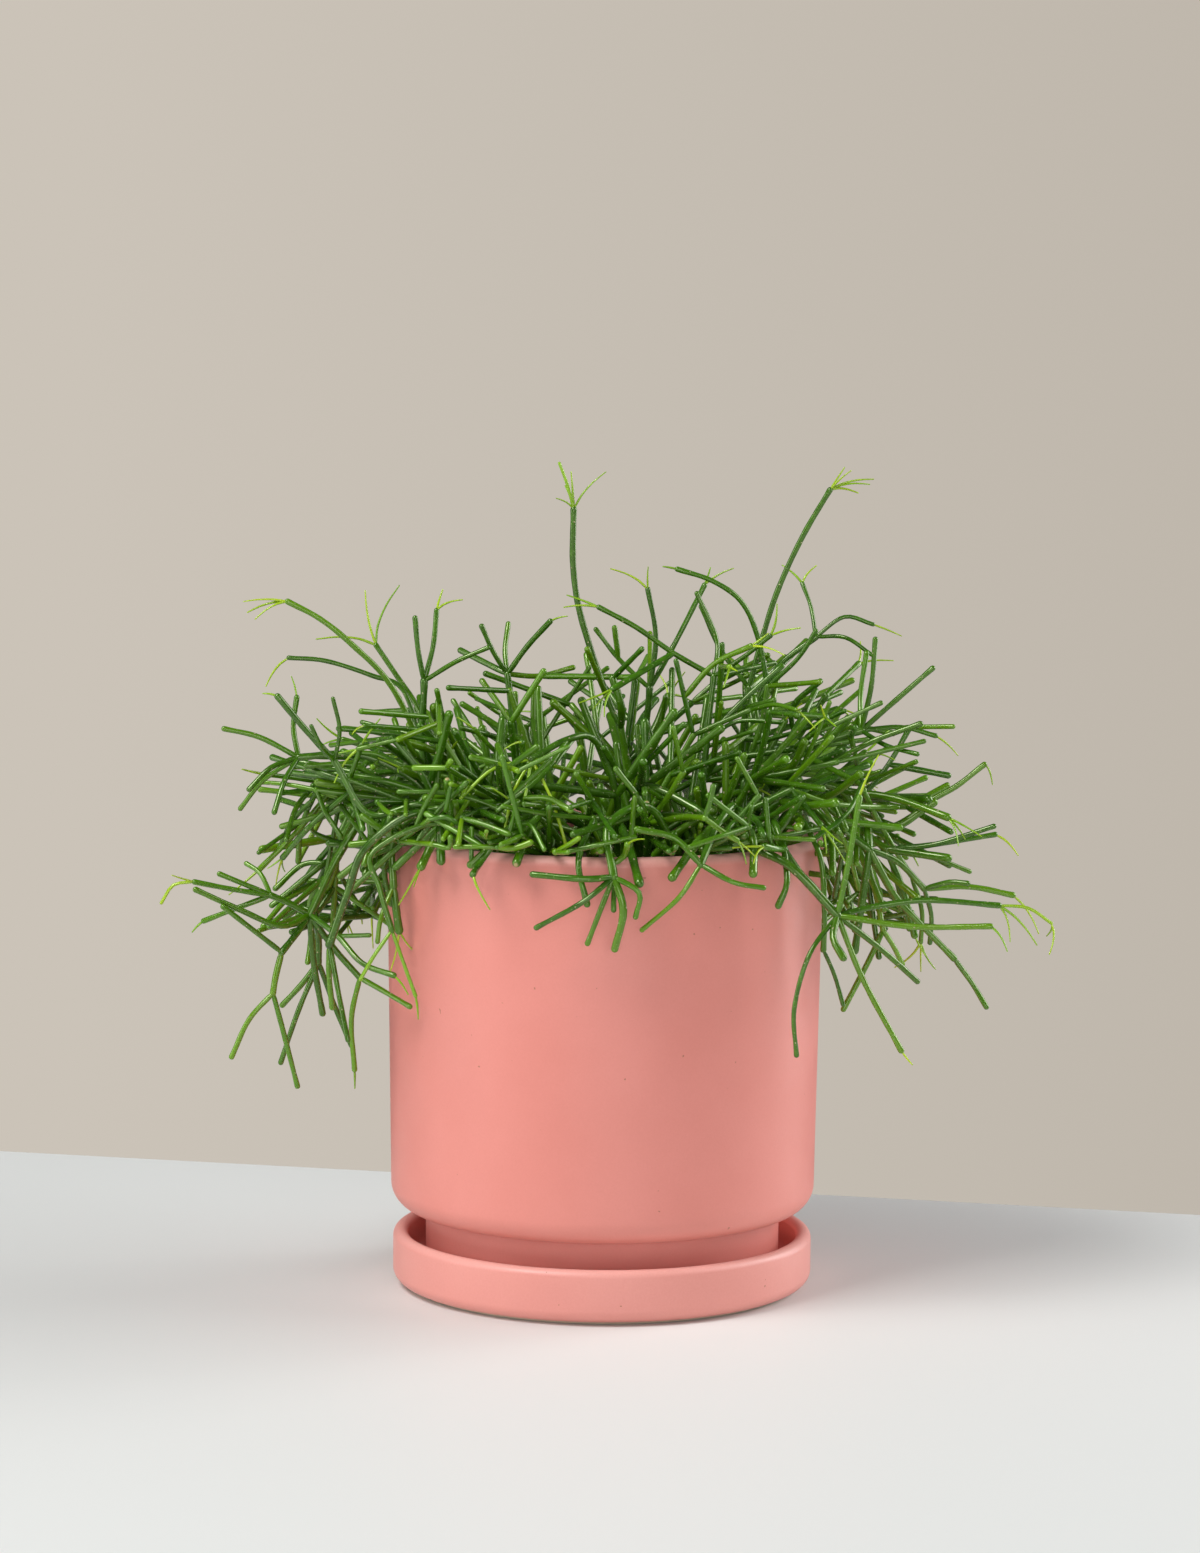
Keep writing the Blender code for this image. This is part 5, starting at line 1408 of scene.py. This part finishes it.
def areoles(tree, inputs, curve, thickness):
    """Small flat dots along a curve, each turned on round it from the one before."""
    sockets = {"Curve": curve, "Length": inputs["Areole spacing"]}
    spots = add_node(tree, "GeometryNodeCurveToPoints", sockets, mode="LENGTH").outputs
    index = add_node(tree, "GeometryNodeInputIndex").outputs["Index"]
    turn = add_node(tree, "ShaderNodeMath", {0: index, 1: inputs["Areole turn"]}, operation="MULTIPLY")
    spin = add_node(tree, "FunctionNodeAxisAngleToRotation", {"Angle": turn.outputs[0]})
    sockets = {"Rotation": spots["Rotation"], "Rotate By": spin.outputs["Rotation"]}
    around = add_node(tree, "FunctionNodeRotateRotation", sockets, rotation_space="LOCAL")
    dot = add_node(tree, "GeometryNodeMeshUVSphere", {"Segments": 6, "Rings": 4})
    sockets = {"Geometry": dot.outputs["Mesh"], "Translation": AREOLE_DEPTH, "Scale": AREOLE_SIZE}
    flat_dot = add_node(tree, "GeometryNodeTransform", sockets)
    sockets = {
        "Points": spots["Points"],
        "Selection": compare(tree, thickness, THINNEST_WITH_AREOLES, "GREATER_THAN"),
        "Instance": flat_dot.outputs["Geometry"],
        "Rotation": around.outputs["Rotation"],
        "Scale": thickness,
    }
    return add_node(tree, "GeometryNodeInstanceOnPoints", sockets).outputs["Instances"]


def stem_tree():
    """A tree that sweeps each centre line to its thickness and sets areoles along it in a spiral."""
    named_inputs = [
        ("Wire", "Geometry", None),
        ("Sides", "Int", 12),
        ("Areole spacing", "Float", AREOLE_SPACING),
        ("Areole turn", "Float", AREOLE_TURN),
        ("Skin", "Material", None),
        ("Cork", "Material", None),
    ]
    tree, inputs = new_tree("Stem_from_wire", named_inputs, "Stem")
    thickness = add_node(tree, "GeometryNodeInputNamedAttribute", {"Name": "thickness"}).outputs["Attribute"]
    curve = add_node(tree, "GeometryNodeMeshToCurve", {"Mesh": inputs["Wire"]}).outputs["Curve"]
    sockets = {"Radius": 1.0, "Resolution": inputs["Sides"]}
    circle = add_node(tree, "GeometryNodeCurvePrimitiveCircle", sockets).outputs["Curve"]
    sockets = {"Curve": curve, "Profile Curve": circle, "Scale": thickness, "Fill Caps": True}
    sweep = add_node(tree, "GeometryNodeCurveToMesh", sockets).outputs["Mesh"]
    dots = areoles(tree, inputs, curve, thickness)
    both = add_node(tree, "GeometryNodeJoinGeometry")
    for part, finish in ((sweep, "Skin"), (dots, "Cork")):
        tree.links.new(with_material(tree, part, inputs[finish]), both.inputs["Geometry"])
    real = add_node(tree, "GeometryNodeRealizeInstances", {"Geometry": both.outputs["Geometry"]})
    smooth = add_node(tree, "GeometryNodeSetShadeSmooth", {"Geometry": real.outputs["Geometry"]})
    add_node(tree, "NodeGroupOutput", {"Stem": smooth.outputs["Geometry"]})
    return tree


def triangle_count(piece):
    """How many triangles the piece's faces make."""
    return sum(len(polygon.vertices) - 2 for polygon in piece.data.polygons)


stems_tree = stem_tree()
print(f"node tree {stems_tree.name} with {len(stems_tree.nodes)} nodes")

# %% Make one piece for each stem
def make_stems(plant):
    """One piece for each stem of the CAD model, which it stands for."""
    rng = random.Random(LINE_SEED)
    total = 0
    for node in dict.fromkeys(shoot["stem"] for shoot in plant.shoots):
        wire = wire_of_stem(plant, node, rng)
        piece = run_tree(node + "_growth", wire, stems_tree, {"Skin": skin, "Cork": areole_cork})
        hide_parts(node)
        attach(piece, "root")
        total += triangle_count(piece)
    return total


print(f"stems: {make_stems(plant)} triangles")

# %% [markdown]
# ## The pot
#
# The pot was thrown or cast as one turned shape, so a profile turned about the axis makes it. It has a
# rounded lip, a body that narrows by two millimetres, a soft lower corner and a foot. The CAD pot has
# flat facets, so this one takes its place with many more steps and fuller curves.

# %% Turn the pot and the saucer
TURN_STEPS = 160
MERGE_DISTANCE = 0.00001
FOOT_FILLET = 1.2
FOOT_EDGE = 1.4
DRAIN_EDGE = 0.8
SAUCER_FILLET = 3.4


def arc(centre, radius, start, stop, count):
    """Points on an arc of a profile, with angles in degrees from the outward direction."""
    angles = np.radians(np.linspace(start, stop, count))
    return [(centre[0] + radius * math.cos(a), centre[1] + radius * math.sin(a)) for a in angles]


def turned(name, profile, closed):
    """A turned shape as a plain mesh. Its profile runs down the outer side."""
    mesh = bpy.data.meshes.new(name)
    edges = [(index, index + 1) for index in range(len(profile) - 1)]
    if closed:
        edges.append((len(profile) - 1, 0))
    mesh.from_pydata([(radius * MM, 0, height * MM) for radius, height in profile], edges, [])
    worker = new_worker(name, mesh)
    screw = worker.modifiers.new("Turn", "SCREW")
    screw.steps = screw.render_steps = TURN_STEPS
    screw.use_merge_vertices = True
    screw.merge_threshold = MERGE_DISTANCE
    screw.use_smooth_shade = True
    return plain_piece(name, worker)


def spaced(start, end, count):
    """Points on a straight run of a profile, without its last one."""
    return [tuple(np.array(start) + (np.array(end) - start) * index / count) for index in range(count)]


def pot_profile():
    """The closed outline of the pot's clay: down the outside, under the foot, and up the inside."""
    rim_centre = (RIM_RADIUS - WALL / 2, RIM_HEIGHT - WALL / 2)
    corner_centre = (BODY_LOW_RADIUS - BODY_CORNER, BODY_BASE + BODY_CORNER)
    foot_base = SAUCER_FLOOR + GAP
    floor = foot_base + FLOOR_THICKNESS
    foot_inside = FOOT_RADIUS - WALL
    return (
        arc(rim_centre, WALL / 2, 90, 0, 12)
        + spaced((RIM_RADIUS - 0.02, RIM_HEIGHT - 6), (BODY_LOW_RADIUS, BODY_BASE + BODY_CORNER + 2), 12)
        + arc(corner_centre, BODY_CORNER, 0, -90, 16)
        + arc((FOOT_RADIUS + FOOT_FILLET, BODY_BASE - FOOT_FILLET), FOOT_FILLET, 90, 180, 5)
        + [(FOOT_RADIUS, foot_base + 4)]
        + arc((FOOT_RADIUS - FOOT_EDGE, foot_base + FOOT_EDGE), FOOT_EDGE, 0, -90, 5)
        + arc((DRAIN_RADIUS + DRAIN_EDGE, foot_base + DRAIN_EDGE), DRAIN_EDGE, -90, -180, 4)
        + arc((DRAIN_RADIUS + DRAIN_EDGE, floor - DRAIN_EDGE), DRAIN_EDGE, 180, 90, 4)
        + arc((foot_inside - 3, floor + 3), 3.0, -90, 0, 6)
        + [(foot_inside, BODY_BASE + WALL - 2), (foot_inside + 2, BODY_BASE + WALL)]
        + arc(corner_centre, BODY_CORNER - WALL, -90, 0, 4)
        + arc(rim_centre, WALL / 2, 180, 97, 11)
    )


def saucer_profile():
    """The outline of the saucer's clay, from the middle of its floor over the wall to under its foot."""
    rim_centre = (SAUCER_RADIUS - SAUCER_WALL / 2, SAUCER_HEIGHT - SAUCER_WALL / 2)
    corner_centre = (SAUCER_RADIUS - SAUCER_CORNER, SAUCER_FOOT_HEIGHT + SAUCER_CORNER)
    inside = SAUCER_RADIUS - SAUCER_WALL
    return (
        [(0, SAUCER_FLOOR)]
        + spaced((30, SAUCER_FLOOR), (inside - 4, SAUCER_FLOOR), 4)
        + arc((inside - SAUCER_FILLET, SAUCER_FLOOR + SAUCER_FILLET), SAUCER_FILLET, -90, 0, 7)
        + arc(rim_centre, SAUCER_WALL / 2, 180, 0, 18)
        + arc(corner_centre, SAUCER_CORNER, 0, -90, 10)
        + [(SAUCER_FOOT_RADIUS, SAUCER_FOOT_HEIGHT - 0.3), (SAUCER_FOOT_RADIUS - 0.1, 0.15)]
        + [(SAUCER_FOOT_RADIUS - 0.4, 0), (40, 0), (0, 0)]
    )


pot = turned("pot_glazed", pot_profile(), True)
saucer = turned("saucer_glazed", saucer_profile(), False)
print(f"pot {triangle_count(pot)} and saucer {triangle_count(saucer)} triangles")

# %% [markdown]
# ## The glaze
#
# The glaze is a satin coral pink. Up close it is not one colour. It is a touch paler over the lip, partly
# where the glaze thins and partly as a painted highlight along the edge. It holds a faint cloudiness, tiny
# darker specks, and a surface like fine eggshell that breaks up the shine. On the saucer the whole glaze
# is a little paler, as painted sheen. The clay shows, pale and dry, only on the foot that the saucer
# stands on.

# %% Make the glaze
GLAZE = (0.760, 0.288, 0.246, 1)
POT_CLOUDS = ((0.735, 0.250, 0.208, 1), (0.762, 0.268, 0.226, 1))
# The saucer's pair is the pot's glaze made paler, as painted sheen
SAUCER_CLOUDS_AND_PAINTED_SHEEN = ((0.765, 0.305, 0.262, 1), (0.795, 0.325, 0.280, 1))
# Paler glaze over the lip: partly thinner glaze, partly a painted highlight along the edge
GLAZE_THIN_AND_HIGHLIGHT = (0.850, 0.420, 0.370, 1)
GLAZE_GRAIN = (0.62, 0.19, 0.15, 1)
IRON_SPECK = (0.46, 0.16, 0.10, 1)
BARE_CLAY = (0.72, 0.60, 0.46, 1)


def glaze_material(name, clouds_and_sheen_between, thin_and_highlight_from, thin_and_highlight_to, clay_below):
    """Cloudy satin glaze that pales between two heights, for thinner glaze and a painted highlight over the
    lip, with bare clay below a third. The saucer's cloud colours are paler, as painted sheen.
    """
    material, shader, tree = new_material(name, GLAZE, 0.42)
    place = object_coordinates(tree)
    clouds = map_range(tree, noise_value(tree, place, 34.0, 4.0), 0.3, 0.7)
    # for the saucer these colours carry a painted sheen
    colour = mix_colours(tree, clouds, *clouds_and_sheen_between)
    height = add_node(tree, "ShaderNodeSeparateXYZ", {0: place}).outputs["Z"]
    # the band under the top edge that pales: thinner glaze and a painted highlight
    thin_glaze_and_highlight = map_range(tree, height, thin_and_highlight_from, thin_and_highlight_to)
    colour = mix_colours(tree, thin_glaze_and_highlight, colour, GLAZE_THIN_AND_HIGHLIGHT)
    grain = map_range(tree, noise_value(tree, place, 1500.0, 3.0), 0.3, 0.75, 0.0, 0.16)
    colour = mix_colours(tree, grain, colour, GLAZE_GRAIN)
    specks = map_range(tree, noise_value(tree, place, 620.0, 0.0), 0.875, 0.9)
    colour = mix_colours(tree, specks, colour, IRON_SPECK)
    clay = map_range(tree, height, clay_below, clay_below - 0.0003)
    colour = mix_colours(tree, clay, colour, BARE_CLAY)
    tree.links.new(colour, shader.inputs["Base Color"])
    gloss = map_range(tree, noise_value(tree, place, 60.0, 5.0), 0.3, 0.7, 0.38, 0.47)
    tree.links.new(gloss, shader.inputs["Roughness"])
    add_bump(tree, shader, noise_value(tree, place, 900.0, 3.0), 0.18, 0.0001)
    return material


def dress(piece, material, node):
    """Gives a piece its finish and lets it stand for its CAD node."""
    piece.data.materials.clear()
    piece.data.materials.append(material)
    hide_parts(node)
    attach(piece, "root")


rim_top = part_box("pot")[1].z
saucer_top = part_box("saucer")[1].z
pot_glaze = glaze_material("pot_glaze_satin", POT_CLOUDS, rim_top - 0.0034, rim_top - 0.0008, -1.0)
dress(pot, pot_glaze, "pot")
saucer_glaze = glaze_material("saucer_glaze_satin", SAUCER_CLOUDS_AND_PAINTED_SHEEN, saucer_top - 0.002, saucer_top, 0.0009)
dress(saucer, saucer_glaze, "saucer")
print(f"glaze on the pot up to {rim_top:.4f} m and on the saucer up to {saucer_top:.4f} m")

# %% [markdown]
# ## The soil
#
# Potting mix is dark, crumbly and full of small bits: bark, fibre and white perlite. The body is turned
# like the pot, and its top is then roughened. The bits are scattered over it by Geometry Nodes, because
# there are hundreds of them and each is only a crumb.

# %% Make the soil's body
SOIL_RELIEF = 3.3 * MM
SOIL_WAVES = 26
SOIL_SEED = 3
SOIL_MEAN = (0.03, 0.02, 0.013, 1)
SOIL_WET = (0.012, 0.008, 0.005, 1)
SOIL_DRY = (0.075, 0.045, 0.026, 1)
FIBRE = (0.17, 0.105, 0.06, 1)


def soil_body_profile():
    """The outline of the soil, from the top of its mound to the pot's wall and down to its floor."""
    inside = RIM_RADIUS - WALL - GAP
    low_inside = BODY_LOW_RADIUS - WALL - GAP
    edge = inside - (inside - low_inside) * (RIM_HEIGHT - SOIL_EDGE_HEIGHT) / (RIM_HEIGHT - BODY_BASE)
    floor = SAUCER_FLOOR + FLOOR_THICKNESS + 2 * GAP
    foot_inside = FOOT_RADIUS - WALL - GAP
    corner = BODY_BASE + WALL + GAP
    crown = [(edge * share, soil_height(edge * share)) for share in np.linspace(0, 0.985, 42)]
    return crown + [
        (edge, SOIL_EDGE_HEIGHT - 1.0),
        (low_inside, corner + 2.6),
        (low_inside - 3, corner),
        (foot_inside, corner),
        (foot_inside, floor + 3.2),
        (foot_inside - 3.4, floor),
        (0, floor),
    ]


def roughen_top(piece):
    """Raises and lowers the top of the soil by layered waves with random phases."""
    rng = random.Random(SOIL_SEED)
    around = 2 * math.pi
    ranges = ((0.12, 1.1), (0, around), (0, around))
    waves = [[rng.uniform(*limits) for limits in ranges] for _ in range(SOIL_WAVES)]
    edge = (RIM_RADIUS - WALL - 2) * MM
    for vertex in piece.data.vertices:
        x, y, z = vertex.co
        reach = math.hypot(x, y)
        if z < (SOIL_EDGE_HEIGHT - 0.5) * MM or reach >= edge:
            continue
        lift = 0.0
        for pitch, turn, phase in waves:
            lift += math.sin((x * math.cos(turn) + y * math.sin(turn)) / MM * pitch + phase)
        fade = min(1.0, (edge - reach) / (4 * MM))
        vertex.co.z += lift / len(waves) * SOIL_RELIEF * fade


def soil_material():
    """Dark crumbs of two shades with pale fibres, rough all over."""
    material, shader, tree = new_material("soil_dark", SOIL_MEAN, 0.95)
    place = object_coordinates(tree)
    crumbs = map_range(tree, noise_value(tree, place, 420.0, 6.0, 0.7), 0.35, 0.68)
    colour = mix_colours(tree, crumbs, SOIL_WET, SOIL_DRY)
    fibres = map_range(tree, noise_value(tree, place, 1300.0, 2.0), 0.66, 0.72)
    colour = mix_colours(tree, fibres, colour, FIBRE)
    tree.links.new(colour, shader.inputs["Base Color"])
    add_bump(tree, shader, noise_value(tree, place, 500.0, 6.0, 0.7), 0.9, 0.0012)
    return material


soil = turned("soil_body", soil_body_profile(), False)
roughen_top(soil)
soil_dark = soil_material()
dress(soil, soil_dark, "soil")
print(f"soil body {triangle_count(soil)} triangles")

# %% Scatter crumbs, bark and perlite over the soil
DENSEST = 400000.0  # bits to the square metre, before their spacing thins them out
LOWEST_BIT = (SOIL_EDGE_HEIGHT - 2) * MM
LARGEST_TURN = (0.6, 0.6, 6.28)
RUFFLE_SCALE = 900.0
RUFFLE_SIZE = 0.0011


def random_vector(tree, lowest, highest, seed):
    """A random vector for each instance, between two corners."""
    sockets = {"Min": lowest, "Max": highest, "Seed": seed}
    return add_node(tree, "FunctionNodeRandomValue", sockets, data_type="FLOAT_VECTOR").outputs[0]


def on_top(tree, reach):
    """Whether a place is on top of the soil and within this reach of the pot's axis."""
    place = add_node(tree, "GeometryNodeInputPosition").outputs[0]
    split = add_node(tree, "ShaderNodeSeparateXYZ", {0: place}).outputs
    level = add_node(tree, "ShaderNodeCombineXYZ", {"X": split["X"], "Y": split["Y"]})
    length = add_node(tree, "ShaderNodeVectorMath", {0: level.outputs[0]}, operation="LENGTH")
    inside = compare(tree, length.outputs["Value"], reach, "LESS_THAN")
    high = compare(tree, split["Z"], LOWEST_BIT, "GREATER_THAN")
    return add_node(tree, "FunctionNodeBooleanMath", {0: inside, 1: high}, operation="AND").outputs[0]


def ruffled(tree, geometry):
    """Geometry whose points are pushed about by noise, so that no two lumps are alike."""
    noise = add_node(tree, "ShaderNodeTexNoise", {"Scale": RUFFLE_SCALE})
    sockets = {0: noise.outputs["Color"], 1: (0.5, 0.5, 0.5)}
    centred = add_node(tree, "ShaderNodeVectorMath", sockets, operation="SUBTRACT")
    sockets = {0: centred.outputs[0], "Scale": RUFFLE_SIZE}
    scaled = add_node(tree, "ShaderNodeVectorMath", sockets, operation="SCALE")
    sockets = {"Geometry": geometry, "Offset": scaled.outputs[0]}
    return add_node(tree, "GeometryNodeSetPosition", sockets).outputs["Geometry"]


def scatter_tree():
    """A tree that scatters uneven lumps over the top of a surface, inside a given reach."""
    named_inputs = [
        ("Ground", "Geometry", None),
        ("Spacing", "Float", 0.004),
        ("Reach", "Float", 0.064),
        ("Smallest", "Vector", (0.0006, 0.0006, 0.0004)),
        ("Largest", "Vector", (0.0016, 0.0012, 0.0008)),
        ("Seed", "Int", 1),
        ("Finish", "Material", None),
    ]
    tree, inputs = new_tree("Soil_bits", named_inputs, "Bits")
    sockets = {
        "Mesh": inputs["Ground"],
        "Selection": on_top(tree, inputs["Reach"]),
        "Distance Min": inputs["Spacing"],
        "Density Max": DENSEST,
        "Seed": inputs["Seed"],
    }
    points = add_node(tree, "GeometryNodeDistributePointsOnFaces", sockets, distribute_method="POISSON")
    turn = random_vector(tree, (0, 0, 0), LARGEST_TURN, inputs["Seed"])
    lump = add_node(tree, "GeometryNodeMeshIcoSphere", {"Radius": 1.0, "Subdivisions": 2})
    sockets = {
        "Points": points.outputs["Points"],
        "Instance": lump.outputs["Mesh"],
        "Rotation": add_node(tree, "FunctionNodeEulerToRotation", {0: turn}).outputs[0],
        "Scale": random_vector(tree, inputs["Smallest"], inputs["Largest"], inputs["Seed"]),
    }
    placed = add_node(tree, "GeometryNodeInstanceOnPoints", sockets)
    real = add_node(tree, "GeometryNodeRealizeInstances", {"Geometry": placed.outputs["Instances"]})
    finished = with_material(tree, ruffled(tree, real.outputs["Geometry"]), inputs["Finish"])
    add_node(tree, "NodeGroupOutput", {"Bits": finished})
    return tree


def bit_material(name, dark, light, scale):
    """Dry matter in patches of two shades."""
    material, shader, tree = new_material(name, light, 0.9)
    place = object_coordinates(tree)
    patch = map_range(tree, noise_value(tree, place, scale, 4.0), 0.35, 0.65)
    tree.links.new(mix_colours(tree, patch, dark, light), shader.inputs["Base Color"])
    add_bump(tree, shader, noise_value(tree, place, scale * 3, 4.0), 0.6, 0.0003)
    return material


def scatter(name, material, seed, spacing, smallest, largest):
    """Scatters bits of one kind over the soil, with their spacing and sizes in millimetres."""
    values = {"Spacing": spacing * MM, "Seed": seed, "Finish": material}
    values["Smallest"] = tuple(size * MM for size in smallest)
    values["Largest"] = tuple(size * MM for size in largest)
    bits = run_tree(name, soil.data.copy(), bits_tree, values)
    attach(bits, "root")
    print(f"{name}: {triangle_count(bits)} triangles")


bits_tree = scatter_tree()
bark = bit_material("bark_brown", (0.035, 0.018, 0.009, 1), (0.16, 0.085, 0.04, 1), 500.0)
perlite = bit_material("perlite_white", (0.42, 0.40, 0.36, 1), (0.72, 0.70, 0.66, 1), 700.0)
scatter("soil_crumbs", soil_dark, 1, 2.6, (0.5, 0.5, 0.4), (1.4, 1.2, 0.9))
scatter("soil_bark", bark, 2, 7.5, (1.2, 0.8, 0.4), (3.4, 2.0, 0.8))
scatter("soil_perlite", perlite, 3, 13.0, (0.6, 0.6, 0.5), (1.3, 1.2, 1.0))
